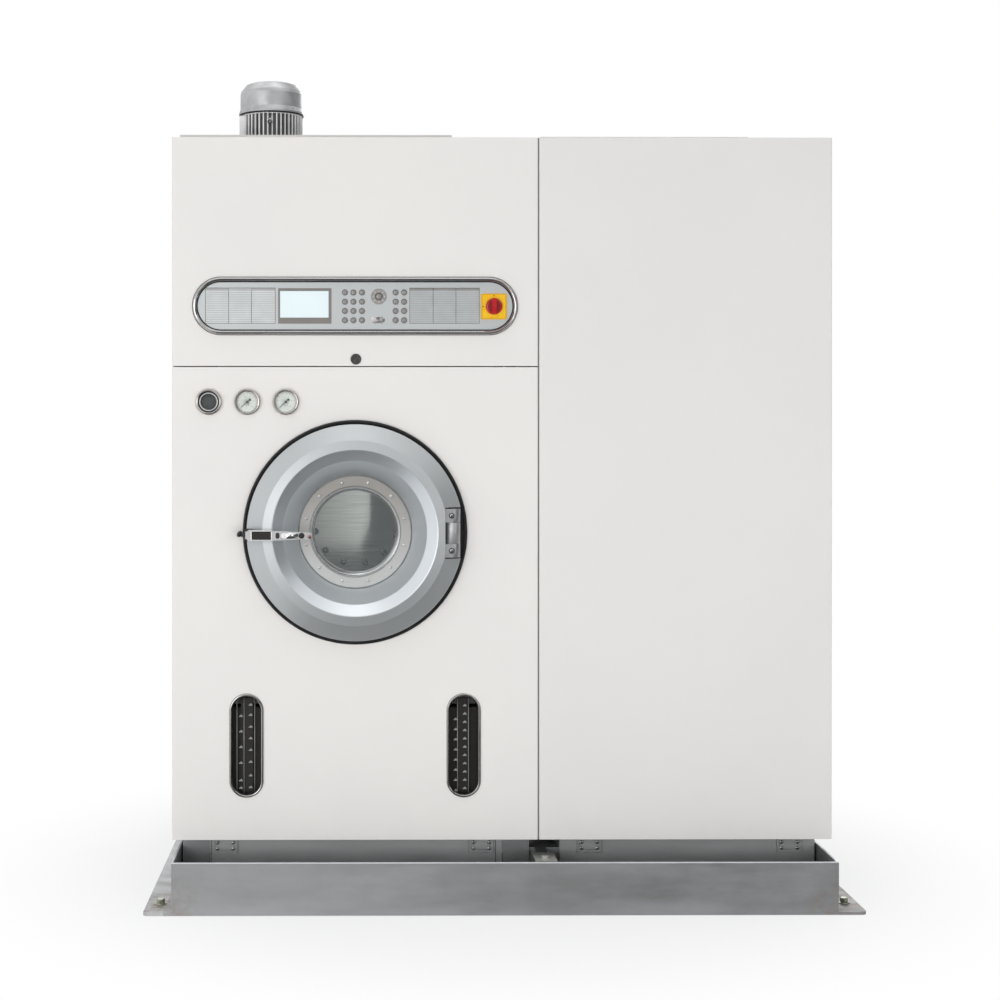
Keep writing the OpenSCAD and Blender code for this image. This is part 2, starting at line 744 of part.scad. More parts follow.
// Section of the cast door: outer band, crest, two funnels, glass seat, and the back of each
crest_r = door_r - band_w;
step_r = crest_r - crest_w;
waist_r = step_r - 27;
waist_p = crest_p - 20;
crest_fall = 5; // how far the crest falls from its inner to its outer edge
edge_r = 1.2; // flat that stands for the rounding of a turned edge
door_section = [
    [door_r, band_p0], [door_r, rim_p], [door_r - edge_r, rim_p + 2.2],
    [crest_r + edge_r, crest_p - crest_fall - 1.4], [crest_r - edge_r, crest_p - crest_fall],
    [step_r + edge_r, crest_p], [step_r - edge_r, crest_p - 1],
    [waist_r + edge_r, waist_p + 0.6], [waist_r - edge_r, waist_p - 1.6],
    [seat_r + 3, glass_p + 7], [seat_r + 1, glass_p + 1.5],
    [seat_r + 1, glass_p], [glass_r + 14, glass_p], [glass_r + 14, glass_p - glass_t - 0.5],
    [glass_r - 4, glass_p - glass_t - 0.5], [glass_r - 4, glass_p - glass_t - door_t],
    [seat_r + 4, glass_p - glass_t - door_t], [seat_r + 9, glass_p - 6],
    [waist_r + 4, waist_p - 6], [waist_r + 7, waist_p - 3], [step_r + 3, crest_p - door_t - 3],
    [crest_r - 15, crest_p - door_t - 3], [nose_r0, crest_p - door_t - 5],
    [nose_r0, nose_p], [nose_r1, nose_p], [nose_r1, band_p0]];

module door_disc() {
    past = 40;
    color([0.66, 0.67, 0.67]) difference() {
        turned(door_x, drum_z, door_section);
        // pocket for the hinge blocks, room for the barrel, and the rim cut away beside it
        box([door_x + pocket_dx, door_x + axis_dx + past], [front_y - 90, front_y - band_p0 - 4],
            [drum_z - pocket_h, drum_z + pocket_h]);
        translate([hinge_x, hinge_y, drum_z - pocket_h])
            cylinder(r = barrel_r + 0.4, h = 2 * pocket_h);
        box([door_x + axis_dx + 10, door_x + axis_dx + past],
            [front_y - 90, front_y - 5], [drum_z - pocket_h, drum_z + pocket_h]);
        // way through for the knuckle and its arm
        box([door_x + pocket_dx, door_x + axis_dx + past],
            [front_y - 90, front_y - axis_p + barrel_r + 0.5], [drum_z - slot_h, drum_z + slot_h]);
        box([door_x + nose_r1 + 0.5, door_x + axis_dx + past], [front_y - 90, front_y],
            [drum_z - slot_h, drum_z + slot_h]);
    }
}

module door_glass() {
    color([0.55, 0.62, 0.62, 0.4]) turned(door_x, drum_z, [
        [0, glass_p - glass_t], [glass_r + 12, glass_p - glass_t], [glass_r + 13, glass_p - glass_t + 1],
        [glass_r + 13, glass_p - 1], [glass_r + 12, glass_p - 0.2], [0, glass_p - 0.2]]);
}

module clamp_ring() {
    t = 6;
    screws = 12;
    mid = (glass_r + seat_r) / 2;
    color([0.72, 0.73, 0.73]) {
        turned(door_x, drum_z, [
            [glass_r, glass_p], [seat_r, glass_p], [seat_r, glass_p + t - 1.5],
            [seat_r - 1.5, glass_p + t], [glass_r + 3, glass_p + t], [glass_r, glass_p + t - 3]]);
        for (i = [0:screws - 1])
            screw_head_p(door_x + mid * cos(15 + 30 * i), drum_z + mid * sin(15 + 30 * i), 4.2,
                glass_p + t, 2.6);
    }
}

module hinge_block(z0) {
    front = axis_p + barrel_r;
    difference() {
        union() {
            translate([hinge_x, hinge_y, z0]) cylinder(r = barrel_r, h = block_h);
            box([door_x + pocket_dx, hinge_x], [front_y - front, front_y - band_p0 - 4],
                [z0, z0 + block_h]);
        }
        translate([hinge_x, hinge_y, z0 - eps]) cylinder(r = pin_r + run_gap, h = block_h + 2 * eps);
    }
    screw_head_p(hinge_x - 4, z0 + block_h / 2, 5.5, front - 1, 2.6);
}

module latch_bracket() {
    half = lever_h / 2;
    ear = 5;
    color([0.10, 0.10, 0.10]) {
        for (side = [-1, 1])
            box([latch_x - 7, latch_x + 11], [front_y - latch_p - 8, front_y - rim_p - 1],
                [latch_z + side * (half - 5 + ear / 2) - ear / 2,
                 latch_z + side * (half - 5 + ear / 2) + ear / 2]);
        box([latch_x - 3.9, latch_x + 11], [front_y - 40, front_y - rim_p + 2],
            [latch_z - half, latch_z + half]);
        translate([latch_x, front_y - latch_p, latch_z - half - 1])
            cylinder(r = latch_pin_r, h = lever_h + 2);
    }
}

module door_fittings() {
    color([0.60, 0.61, 0.62]) {
        hinge_block(drum_z + knuckle_h + 0.5);
        hinge_block(drum_z - knuckle_h - 0.5 - block_h);
    }
    difference() {
        latch_bracket();
        turned(door_x, drum_z, door_section);
    }
}

module hinge_bracket() {
    foot_p = front_y - shell_y0;
    color([0.60, 0.61, 0.62]) {
        difference() {
            union() {
                translate([hinge_x, hinge_y, drum_z - knuckle_h])
                    cylinder(r = barrel_r, h = 2 * knuckle_h);
                box([door_x + leg_dx, door_x + leg_dx + leg_t], [hinge_y, shell_y0 - 8],
                    [drum_z - leg_h, drum_z + leg_h]);
                box([door_x + leg_dx - 14, door_x + leg_dx + leg_t + 50], [shell_y0 - 8, shell_y0],
                    [drum_z - leg_h - 20, drum_z + leg_h + 20]);
            }
        }
        translate([hinge_x, hinge_y, drum_z - knuckle_h - block_h + 1])
            cylinder(r = pin_r, h = 2 * (knuckle_h + block_h - 1));
    }
}

module latch_handle() {
    p0 = 77;
    p1 = 96;
    h0 = lever_h / 2;
    h1 = 9;
    x0 = 1;
    color([0.80, 0.81, 0.82]) translate([latch_x, front_y, latch_z]) difference() {
        union() {
            // blade, seen from the front
            translate([0, -p0, 0]) rotate([90, 0, 0]) linear_extrude(p1 - p0) difference() {
                union() {
                    polygon([[x0 + 4, h0 - 0.5], [x0 + 46, h0 - 1.5], [lever_l - 24, h1], [lever_l - 9, h1],
                             [lever_l - 9, -h1], [lever_l - 24, -h1], [x0 + 46, -h0 + 1.5],
                             [x0 + 4, -h0 + 0.5], [x0, -h0 + 4], [x0, h0 - 4]]);
                    translate([lever_l - 9, 0]) circle(h1);
                }
                for (z = [-2.6, 2.6]) translate([79, z]) circle(3.2, $fn = 32);
                translate([79 - 3.2, -2.6]) square([6.4, 5.2]);
            }
            // neck back to the pin
            box([-4, 14], [-p0 - eps, -latch_p], [-9.6, 9.6]);
            translate([0, -latch_p, -9.6]) cylinder(r = 8, h = 19.2);
            // claw that lies beside the stud
            box([-15, 0], [-latch_p - 6, -latch_p + 2], [-5, 5]);
        }
        box([x0 + 13, x0 + 61], [-p1 - eps, -p1 + 14], [-9, 9]);
        box([x0 + 64, lever_l + 1], [-p0 - 8, -p0 + eps], [-h0, h0]);
        translate([0, -latch_p, -10]) cylinder(r = latch_pin_r + run_gap, h = 20);
    }
    color([0.06, 0.06, 0.06]) translate([latch_x + 140, front_y - p1, latch_z])
        rotate([90, 0, 0]) rotate_extrude() polygon([[0, 0], [7, 0], [7, 2.6], [5.8, 3.8], [0, 3.8]]);
}

module latch_catch() {
    x = latch_x - 22.5;
    foot_r = 22.5 - 4 - seal_w - 0.5;
    color([0.07, 0.07, 0.07]) {
        rod_p(x, latch_z, foot_r, 0, 3);
        rod_p(x, latch_z, 3.5, 3, 44);
        translate([x, front_y - 46, latch_z]) sphere(r = 6, $fn = 48);
    }
}

// ---- upper panel and controls ----
module upper_front_panel() {
    color([0.89, 0.87, 0.86]) difference() {
        front_pan(left_x0, left_x1, split_z + panel_gap / 2, cab_top);
        slab_p(door_x, panel_z, face_span, face_r - 7, -panel_return - eps, eps);
        rod_p(cam_x, cam_z, cam_r + 0.3, -panel_return - eps, eps);
        translate([left_x0 - eps, pivot_y, pivot_z]) rotate([0, 90, 0])
            cylinder(r = pivot_r + run_gap, h = left_w + 2 * eps);
    }
}

module control_bezel() {
    r = bezel_h / 2;
    color([0.62, 0.63, 0.65]) trim_round(door_x, panel_z, face_span)
        polygon(crown(r - bezel_w, r, 0, 11));
}

module key_places(x0, columns) {
    for (i = [0:4 * columns - 1])
        translate([x0 + (i % columns) * key_dx, 0, keys_z - floor(i / columns) * key_dz]) children();
}

module control_face() {
    hole = key_r + key_gap;
    color([0.63, 0.64, 0.65]) {
        difference() {
            slab_p(door_x, panel_z, face_span, face_r - 0.3, 0, face_t);
            key_places(keys_x, 3) rod_p(0, 0, hole, -eps, face_t + eps);
            key_places(funcs_x, 2) rod_p(0, 0, hole, -eps, face_t + eps);
            rod_p(cursor_x, cursor_z, cursor_r + key_gap, -eps, face_t + eps);
            rod_p(lock_x, lock_z, 5.3, -eps, face_t + eps);
            box([display_x0 + 4, display_x1 - 4], [front_y - face_t - eps, front_y + eps],
                [display_z0 + 4, display_z1 - 4]);
            rod_p(switch_x, switch_z, 12, -eps, face_t + eps);
        }
        difference() {
            slab_p(lock_x - 8.5, lock_z, 17, 8.5, face_t, face_t + 1);
            rod_p(lock_x, lock_z, 5.3, face_t - eps, face_t + 2);
        }
    }
}

module display() {
    lip = 1.6;
    screen_x = [display_x0 + 4.6, display_x1 - 7];
    screen_z = [display_z0 + 15, display_z1 - 7];
    color([0.42, 0.40, 0.39]) difference() {
        union() {
            box([display_x0, display_x1], [front_y - face_t - lip, front_y - face_t],
                [display_z0, display_z1]);
            box([display_x0 + 5, display_x1 - 5], [front_y - face_t, front_y + 16],
                [display_z0 + 5, display_z1 - 5]);
        }
        box(screen_x, [front_y - face_t - lip - eps, front_y - face_t - 0.6], screen_z);
    }
}

module switch_plate() {
    s = switch_s / 2;
    corner = 5;
    color([0.95, 0.78, 0.10]) difference() {
        union() {
            translate([switch_x, front_y - face_t, switch_z]) rotate([90, 0, 0])
                linear_extrude(3) {
                    square([2 * s, 2 * (s - corner)], center = true);
                    square([2 * (s - corner), 2 * s], center = true);
                    for (a = [-1, 1], b = [-1, 1])
                        translate([a * (s - corner), b * (s - corner)]) circle(corner, $fn = 32);
                }
            rod_p(switch_x, switch_z, knob_r + 5, face_t + 3, face_t + 4.5);
            rod_p(switch_x, switch_z, 11.5, -14, face_t);
        }
        rod_p(switch_x, switch_z, 4 + run_gap, -15, face_t + 6);
    }
}

module switch_knob() {
    p0 = face_t + 5;
    color([0.80, 0.08, 0.07]) {
        turned(switch_x, switch_z, [
            [0, p0], [knob_r, p0], [knob_r, p0 + 7], [knob_r - 1.6, p0 + 9.4], [knob_r - 4, p0 + 10.4],
            [0, p0 + 10.4]]);
        translate([switch_x, front_y - p0 - 10, switch_z]) rotate([90, 0, 0])
            linear_extrude(14) stadium_upright(2 * knob_r - 13, 5.5);
        rod_p(switch_x, switch_z, 4, -12, p0 + 1);
    }
}

module stadium_upright(span, r) {
    rotate([0, 0, 90]) stadium(span, r);
}

module cam_lock() {
    head = cam_r + 1;
    tongue_p = -panel_return - 7;
    color([0.35, 0.35, 0.36]) difference() {
        union() {
            turned(cam_x, cam_z, [
                [0, -18], [cam_r, -18], [cam_r, 0.3], [head, 0.3], [head, 2.4], [head - 1.6, 4],
                [head - 4, 4], [head - 4.6, 3], [0, 3]]);
            rod_p(cam_x, cam_z, 6, tongue_p, -17);
            translate([cam_x, front_y - tongue_p, cam_z]) rotate([90, 0, 0]) linear_extrude(4)
                translate([-8, -8]) square([48, 16]);
        }
        translate([cam_x, front_y - 2, cam_z]) rotate([90, 45, 0]) linear_extrude(3)
            square([1.6, 13], center = true);
    }
}

module key_switch() {
    color([0.78, 0.78, 0.76]) {
        turned(lock_x, lock_z, [
            [0, -14], [5, -14], [5, face_t + 1.6], [4.2, face_t + 2.2], [0, face_t + 2.2]]);
        translate([lock_x, front_y - face_t - 2, lock_z]) rotate([90, 0, 0]) linear_extrude(7)
            square([1.8, 7], center = true);
    }
}

module cursor_ring() {
    top = face_t + 1.6;
    groove_w = 1.4;
    color([0.52, 0.53, 0.54]) difference() {
        turned(cursor_x, cursor_z, [
            [centre_r + ring_gap, -2.4], [cursor_r + 1.6, -2.4], [cursor_r + 1.6, -0.4],
            [cursor_r, -0.4], [cursor_r, top - 0.8], [cursor_r - 0.8, top],
            [centre_r + ring_gap + 0.6, top], [centre_r + ring_gap, top - 0.6]]);
        for (turn = [45, 135]) translate([cursor_x, front_y - top, cursor_z]) rotate([0, turn, 0])
            cube([2 * cursor_r + 2, 1.6, groove_w], center = true);
    }
}

module cursor_key() {
    color([0.70, 0.71, 0.72]) key_body(cursor_x, cursor_z, centre_r, centre_r);
}

// A key: a crowned cap with a collar behind the face that keeps it in
module key_body(x, z, r, collar) {
    top = face_t + 1.2;
    turned(x, z, [
        [0, -2.4], [collar, -2.4], [collar, -0.4], [r, -0.4], [r, top - 0.7], [r - 0.3, top - 0.2],
        [r - 1, top], [r - 2, top - 0.5], [r - 3, top + 0.1], [r / 3, top + 0.5], [0, top + 0.55]]);
}

module one_key(x0, columns, i) {
    color([0.66, 0.67, 0.68]) translate([(i % columns) * key_dx, 0, -floor(i / columns) * key_dz])
        key_body(x0, keys_z, key_r, key_r + 1.4);
}

module number_key(i) { one_key(keys_x, 3, i); }
module function_key(i) { one_key(funcs_x, 2, i); }

// ---- drive ----
// Outline of a belt round the two pulleys: an arc of each, joined by the straight runs
function belt_outline(grow, steps = 36) =
    let (r1 = big_pulley_r - groove + grow,
         r2 = small_pulley_r - groove + grow,
         lean = asin((r1 - r2) / (drum_z - motor_z)),
         sweep = 180 + 2 * lean)
    concat(
        [for (i = [0:steps]) let (a = i / steps * sweep - lean)
            [door_x + r1 * cos(a), drum_z + r1 * sin(a)]],
        [for (i = [0:steps]) let (a = 180 + lean + i / steps * (360 - sweep))
            [door_x + r2 * cos(a), motor_z + r2 * sin(a)]]);

module drive_belt() {
    w = drive_w - 16;
    color([0.08, 0.08, 0.08]) translate([0, drive_y + w / 2, 0]) rotate([90, 0, 0])
        linear_extrude(w) difference() {
            polygon(belt_outline(0.4 + belt_t));
            polygon(belt_outline(0.8));
        }
}

module pulley(z, r, bore, spokes) {
    half = drive_w / 2;
    face = half - 7.6;
    translate([door_x, drive_y, z]) rotate([90, 0, 0]) difference() {
        rotate_extrude() polygon([
            [bore, -half], [bore + 18, -half], [bore + 18, -4], [r - groove - 10, -4],
            [r - groove - 10, -half], [r, -half], [r, -face], [r - groove, -face + 0.4],
            [r - groove, face - 0.4], [r, face], [r, half], [r - groove - 10, half],
            [r - groove - 10, 4], [bore + 18, 4], [bore + 18, half], [bore, half]]);
        if (spokes > 0) for (i = [0:spokes - 1]) rotate([0, 0, i * 360 / spokes])
            translate([(r + bore) / 2, 0, -5]) cylinder(r = (r - bore) / 4.4, h = 10);
    }
}

module drum_pulley() {
    color([0.35, 0.36, 0.37]) pulley(drum_z, big_pulley_r, shaft_r, 6);
}

module motor_pulley() {
    color([0.45, 0.46, 0.47]) {
        pulley(motor_z, small_pulley_r, motor_shaft_r, 0);
        rod_y(door_x, motor_z, motor_shaft_r, drive_y - drive_w / 2, drive_y + 60);
    }
}

module drive_motor() {
    y0 = drive_y + 34;
    r = 95;
    body_l = 232;
    fin_l = 176;
    color([0.28, 0.33, 0.36]) {
        difference() {
            union() {
                rod_y(door_x, motor_z, r - 10, y0, y0 + body_l);
                for (i = [0:17]) translate([door_x, y0 + 10, motor_z]) rotate([0, 7 + i * 20, 0])
                    translate([r - 14, 0, -1.5]) cube([12, fin_l, 3]);
                rod_y(door_x, motor_z, r, y0, y0 + 14);
                rod_y(door_x, motor_z, r, y0 + fin_l + 6, y0 + body_l);
            }
            rod_y(door_x, motor_z, motor_shaft_r + run_gap, y0 - eps, y0 + 40);
        }
        motor_stand(y0 + 20, y0 + body_l - 50, motor_z - r - 4);
    }
}

// Welded stand under the motor, with a plate that its barrel rests on
module motor_stand(y0, y1, top) {
    box([door_x - 80, door_x + 80], [y0, y1], [top - 10, top + 3]);
    box([door_x - 30, door_x + 30], [y0, y1], [top, top + 20]);
    for (x = [door_x - 80, door_x + 72]) box([x, x + 8], [y0, y1], [deck_z, top - 10 + eps]);
}

// ---- fan on the roof ----
module fan_motor() {
    root = fan_motor_r - 13;
    flange = fan_motor_r + 14;
    z1 = fan_z0 + 12 + fan_body_h;
    color([0.62, 0.63, 0.64]) translate([fan_x, fan_y, 0]) {
        difference() {
            union() {
                translate([0, 0, fan_z0]) cylinder(r = flange, h = 12);
                translate([0, 0, fan_z0 + 12 - eps]) linear_extrude(fan_body_h + eps)
                    fin_outline(root);
                translate([0, 0, z1 - 6]) cylinder(r = fan_motor_r - 2, h = 6);
                box([-fan_motor_r, -root + 10], [-46, 46], [fan_z0 + 18, z1 - 8]);
            }
            translate([0, 0, fan_z0 - eps]) cylinder(r = fan_shaft_r + run_gap, h = 50);
        }
        translate([0, -root - 3, z1 - 26]) rotate([90, 0, 0]) cylinder(r = 5, h = 13);
    }
}

module fin_outline(root) {
    fin_t = 3;
    circle(root);
    for (i = [0:fin_count - 1]) rotate([0, 0, (i + 0.5) * 360 / fin_count])
        translate([root - 2, -fin_t / 2]) square([fan_motor_r - root + 2, fin_t]);
}

module fan_cowl() {
    z0 = fan_z0 + 12 + fan_body_h;
    r = fan_motor_r;
    t = 2;
    color([0.70, 0.71, 0.71]) translate([fan_x, fan_y, z0]) difference() {
        rotate_extrude() polygon([
            [r + 1, 0], [r + 4, 0], [r + 4, 4], [r, 16], [r, cowl_h - 30], [r - 2, cowl_h - 22],
            [r - 15, cowl_h - 5], [r - 21, cowl_h - 2], [r - 30, cowl_h - 1], [0, cowl_h],
            [0, cowl_h - t], [r - 30, cowl_h - t - 1], [r - 21.6, cowl_h - t - 2.2],
            [r - 16.4, cowl_h - t - 4.6], [r - 2 - t, cowl_h - 22], [r - t, cowl_h - 30], [r - t, 16],
            [r + 1, 5]]);
        for (i = [0:23]) rotate([0, 0, i * 15]) translate([20, -1.6, cowl_h - 8])
            cube([r - 52, 3.2, 12]);
    }
}

module fan_impeller() {
    z0 = cab_top - 130;
    blades = 12;
    color([0.66, 0.67, 0.68]) translate([fan_x, fan_y, 0]) {
        translate([0, 0, z0]) difference() {
            cylinder(r = 125, h = 3);
            translate([0, 0, -eps]) cylinder(r = 11, h = 5);
        }
        translate([0, 0, z0 - 50]) difference() {
            cylinder(r = 125, h = 2);
            translate([0, 0, -eps]) cylinder(r = 72, h = 4);
        }
        for (i = [0:blades - 1]) rotate([0, 0, i * 360 / blades]) translate([96, 0, z0 - 49])
            rotate([0, 0, 50]) translate([-26, -1.5, 0]) cube([52, 3, 50]);
        translate([0, 0, z0 - 20]) cylinder(r = 24, h = 21);
        translate([0, 0, z0 - 20]) cylinder(r = fan_shaft_r, h = fan_z0 + 40 - z0);
    }
}

// ---- vessels of the distillation cabinet ----
vessel_side = frame_gap + post_w + 10;
vessel_room = right_w - 2 * vessel_side - 2;
still_r = 0.29 * vessel_room;
filter_r = 0.5 * vessel_room - still_r;
still_x = right_x0 + vessel_side + still_r;
filter_x = right_x1 - vessel_side - filter_r;
pipe_z = 520;
pipe_in = 160; // from the back panel's face to the cooler that the pipes come from
pipes = [[still_x - 100, 13.25], [still_x - 10, 13.25], [still_x + 65, 16.75]];

// Dished shell on four feet, open at the neck on its top
module vessel(x, r, z0, z1, neck_r) {
    wall = 4;
    y = front_y + still_r + 60;
    h = z1 - z0;
    translate([x, y, 0]) {
        translate([0, 0, z0]) rotate_extrude() polygon([
            [0, 0], [r - 30, 0], [r - 8, 10], [r, 32], [r, h - 40], [r - 10, h - 16],
            [r - 40, h - 4], [neck_r, h], [neck_r, h + 60], [neck_r - wall, h + 60],
            [neck_r - wall, h - wall], [r - 40, h - 4 - wall], [r - 12, h - 16 - wall],
            [r - wall, h - 42], [r - wall, 34], [r - 10, 14], [r - 30, wall], [0, wall]]);
        for (turn = [45:90:315]) rotate([0, 0, turn]) translate([r - 34, -10, deck_z])
            cube([22, 20, z0 + 12 - deck_z]);
        for (i = [0:11]) rotate([0, 0, i * 30]) translate([r - 3, -9, z0 + 0.3 * h])
            cube([12, 18, 26]);
    }
}

// Round condenser that lies across the still's neck
module condenser(y, z) {
    r = 88;
    half = 170;
    wall = 4;
    difference() {
        translate([still_x - half, y, z]) rotate([0, 90, 0]) cylinder(r = r, h = 2 * half);
        translate([still_x - half + wall, y, z]) rotate([0, 90, 0])
            cylinder(r = r - wall, h = 2 * (half - wall));
        translate([still_x, y, z - r - 97]) cylinder(r = 41, h = 120);
    }
}

// Finned cooler between two headers and a back plate
module cooler(x, y1) {
    y0 = y1 - 205;
    h = 420;
    header = 20;
    for (i = [0:9]) box(x, [y0 + 5 + 20 * i, y0 + 13 + 20 * i], [deck_z, deck_z + h]);
    for (z = [0, h - header]) box(x, [y0, y1], [deck_z + z, deck_z + z + header]);
    box(x, [y1 - 12, y1], [deck_z, deck_z + h]);
}

module solvent_circuit() {
    still_y = front_y + still_r + 60;
    compressor_r = 0.7 * filter_r;
    cooler_x = [still_x - 120, still_x + 90];
    color([0.58, 0.60, 0.61]) {
        vessel(still_x, still_r, deck_z + 90, deck_z + 640, 45);
        vessel(filter_x, filter_r, deck_z + 120, deck_z + 940, 30);
        condenser(still_y, deck_z + 785);
        translate([filter_x, back_y - 260, deck_z]) cylinder(r = compressor_r, h = 300);
        cooler(cooler_x, back_y - pipe_in);
        // pump
        box([cooler_x[1] + 20, filter_x - compressor_r - 12], [back_y - 300, back_y - 180],
            [deck_z, deck_z + 190]);
        pipe_stubs();
    }
}

// Water and air connections that pass through the back panel
module pipe_stubs() {
    for (pipe = pipes) {
        rod_y(pipe[0], pipe_z, pipe[1], back_y - pipe_in - eps, back_y + 42);
        rod_y(pipe[0], pipe_z, pipe[1] + 7, back_y + 2, back_y + 12);
    }
}

drip_tray();
machine_frame();
plinth_panels();
lower_front_panel();
right_front_panel();
cabinet_panels();
roof_covers();
instruments();
window_bezels();
solvent_tanks();
door_seal();
drum_shell();
hinge_bracket();
latch_catch();
drive_motor();
drive_belt();
fan_motor();
fan_cowl();
solvent_circuit();
upper_front_panel();
control_bezel();
control_face();
display();
switch_plate();
switch_knob();
cam_lock();
key_switch();
cursor_ring();
cursor_key();
number_key(0);  // number_key_1
number_key(1);  // number_key_2
number_key(2);  // number_key_3
number_key(3);  // number_key_4
number_key(4);  // number_key_5
number_key(5);  // number_key_6
number_key(6);  // number_key_7
number_key(7);  // number_key_8
number_key(8);  // number_key_9
number_key(9);  // number_key_10
number_key(10);  // number_key_11
number_key(11);  // number_key_12
function_key(0);  // function_key_1
function_key(1);  // function_key_2
function_key(2);  // function_key_3
function_key(3);  // function_key_4
function_key(4);  // function_key_5
function_key(5);  // function_key_6
function_key(6);  // function_key_7
function_key(7);  // function_key_8
door_disc();
door_glass();
clamp_ring();
door_fittings();
latch_handle();
needle_left();
needle_right();
drum();
drum_pulley();
motor_pulley();
fan_impeller();
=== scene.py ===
# %% [markdown]
# # Finishing a dry cleaning machine
# The imported model already holds every part at its real size and in its real place. This lesson dresses it:
# it sets up the studio, gives each part the finish that the real one has, and adds the small pieces that a
# construction model leaves out, such as dial faces, screws, glass and printed tables. The imported parts are
# never moved or reshaped here.

# %% Load the machine
import math
import bpy
import bmesh
from mathutils import Matrix, Vector


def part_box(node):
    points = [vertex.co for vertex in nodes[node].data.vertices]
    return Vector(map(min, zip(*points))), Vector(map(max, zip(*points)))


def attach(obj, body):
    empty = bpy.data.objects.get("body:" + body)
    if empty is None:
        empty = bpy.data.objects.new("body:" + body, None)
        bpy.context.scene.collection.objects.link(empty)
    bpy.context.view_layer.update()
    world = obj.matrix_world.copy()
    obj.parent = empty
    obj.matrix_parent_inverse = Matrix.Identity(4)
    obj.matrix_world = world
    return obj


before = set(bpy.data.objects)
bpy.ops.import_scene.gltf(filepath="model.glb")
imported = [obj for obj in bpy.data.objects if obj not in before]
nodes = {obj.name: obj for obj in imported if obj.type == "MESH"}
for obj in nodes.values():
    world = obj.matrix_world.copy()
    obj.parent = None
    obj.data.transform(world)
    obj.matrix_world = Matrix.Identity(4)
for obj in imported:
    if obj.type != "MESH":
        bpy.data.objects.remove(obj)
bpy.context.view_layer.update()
MM = 0.001

# %% [markdown]
# Much of what is added later is placed from a few reference points that come from the parts themselves. The
# front panels give the plane that the controls sit on, the glass gives the door's axis, and so on. A helper
# returns a part's centre and size, which saves reading boxes again and again.

# %% Reference points from the parts
def span(name):
    """Lowest corner, highest corner and centre of a part, as vectors in metres."""
    low, high = (Vector(corner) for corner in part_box(name))
    return low, high, (low + high) / 2


FRONT = span("lower_front_panel")[0].y
DOOR = span("door_glass")[2]
PANEL_FACE = span("control_face")[0].y + 1.0 * MM
print("front plane y = %.3f, door axis x = %.3f z = %.3f" % (FRONT, DOOR.x, DOOR.z))

# %% [markdown]
# ## Building blocks
# Four small helpers make almost every added piece. `solid` turns lists of points and faces into a mesh,
# `turned` sweeps a profile round an axis that faces the viewer, as a lathe would, `slab` extrudes a flat
# outline and softens its edges, and `add` hangs the finished piece on the part of the machine that carries it.
# A bevel on every slab matters more than it seems: a perfectly sharp edge never catches light.

# %% Helpers for meshes
def solid(name, points, faces, smooth=True):
    mesh = bpy.data.meshes.new(name)
    mesh.from_pydata([tuple(p) for p in points], [], faces)
    mesh.validate()
    piece = bpy.data.objects.new(name, mesh)
    bpy.context.collection.objects.link(piece)
    tidy = bmesh.new()
    tidy.from_mesh(mesh)
    bmesh.ops.remove_doubles(tidy, verts=tidy.verts, dist=1e-7)
    bmesh.ops.recalc_face_normals(tidy, faces=tidy.faces)
    tidy.to_mesh(mesh)
    tidy.free()
    for face in mesh.polygons:
        face.use_smooth = smooth
    return piece


def add(piece, body, material):
    piece.data.materials.clear()
    piece.data.materials.append(material)
    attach(piece, body)
    return piece


def lathe_points(profile, steps, toward_viewer=True):
    """Points and faces of a profile of (radius, height) pairs turned a full circle."""
    points, faces = [], []
    count = len(profile)
    for i in range(steps):
        a = 2 * math.pi * i / steps
        for r, h in profile:
            if toward_viewer:
                points.append(Vector((r * math.cos(a), -h, r * math.sin(a))))
            else:
                points.append(Vector((r * math.cos(a), r * math.sin(a), h)))
    for i in range(steps):
        j = (i + 1) % steps
        for k in range(count - 1):
            faces.append((i * count + k, i * count + k + 1, j * count + k + 1, j * count + k))
    return points, faces


def turned(name, centre, profile, steps=64, toward_viewer=True):
    """A turned piece; heights count from the centre towards the viewer, or upwards."""
    points, faces = lathe_points([(r * MM, h * MM) for r, h in profile], steps, toward_viewer)
    return solid(name, [Vector(centre) + p for p in points], faces)


def soften(piece, width, segments=3, angle=40):
    """Rounds the sharp edges of a piece and keeps its flat faces flat to the eye."""
    mesh = bmesh.new()
    mesh.from_mesh(piece.data)
    limit = math.radians(angle)
    sharp = [e for e in mesh.edges if len(e.link_faces) == 2 and e.calc_face_angle() > limit]
    bmesh.ops.bevel(mesh, geom=sharp, offset=width * MM, segments=segments, affect="EDGES", profile=0.5)
    mesh.to_mesh(piece.data)
    mesh.free()
    for face in piece.data.polygons:
        face.use_smooth = True
    weighted = piece.modifiers.new("even_normals", "WEIGHTED_NORMAL")
    weighted.keep_sharp = True
    return piece


def prism_faces(n, count):
    """Faces of a prism whose two outlines, of count points each, start at point n."""
    far = n + count
    faces = [tuple(range(n, far)), tuple(range(far + count - 1, far - 1, -1))]
    return faces + [(n + k, n + (k + 1) % count, far + (k + 1) % count, far + k) for k in range(count)]


def slab(name, outline, back, front, edge=0.6, plane="xz"):
    """Extrudes a flat outline. In plane xz the depths are y values, in plane xy they are z values."""
    place = (lambda u, v, w: (u, w, v)) if plane == "xz" else (lambda u, v, w: (u, v, w))
    points = [place(u, v, w) for w in (back, front) for u, v in outline]
    piece = solid(name, points, prism_faces(0, len(outline)), smooth=False)
    return soften(piece, edge) if edge else piece


def rectangle(u0, u1, v0, v1):
    return [(u0, v0), (u1, v0), (u1, v1), (u0, v1)]


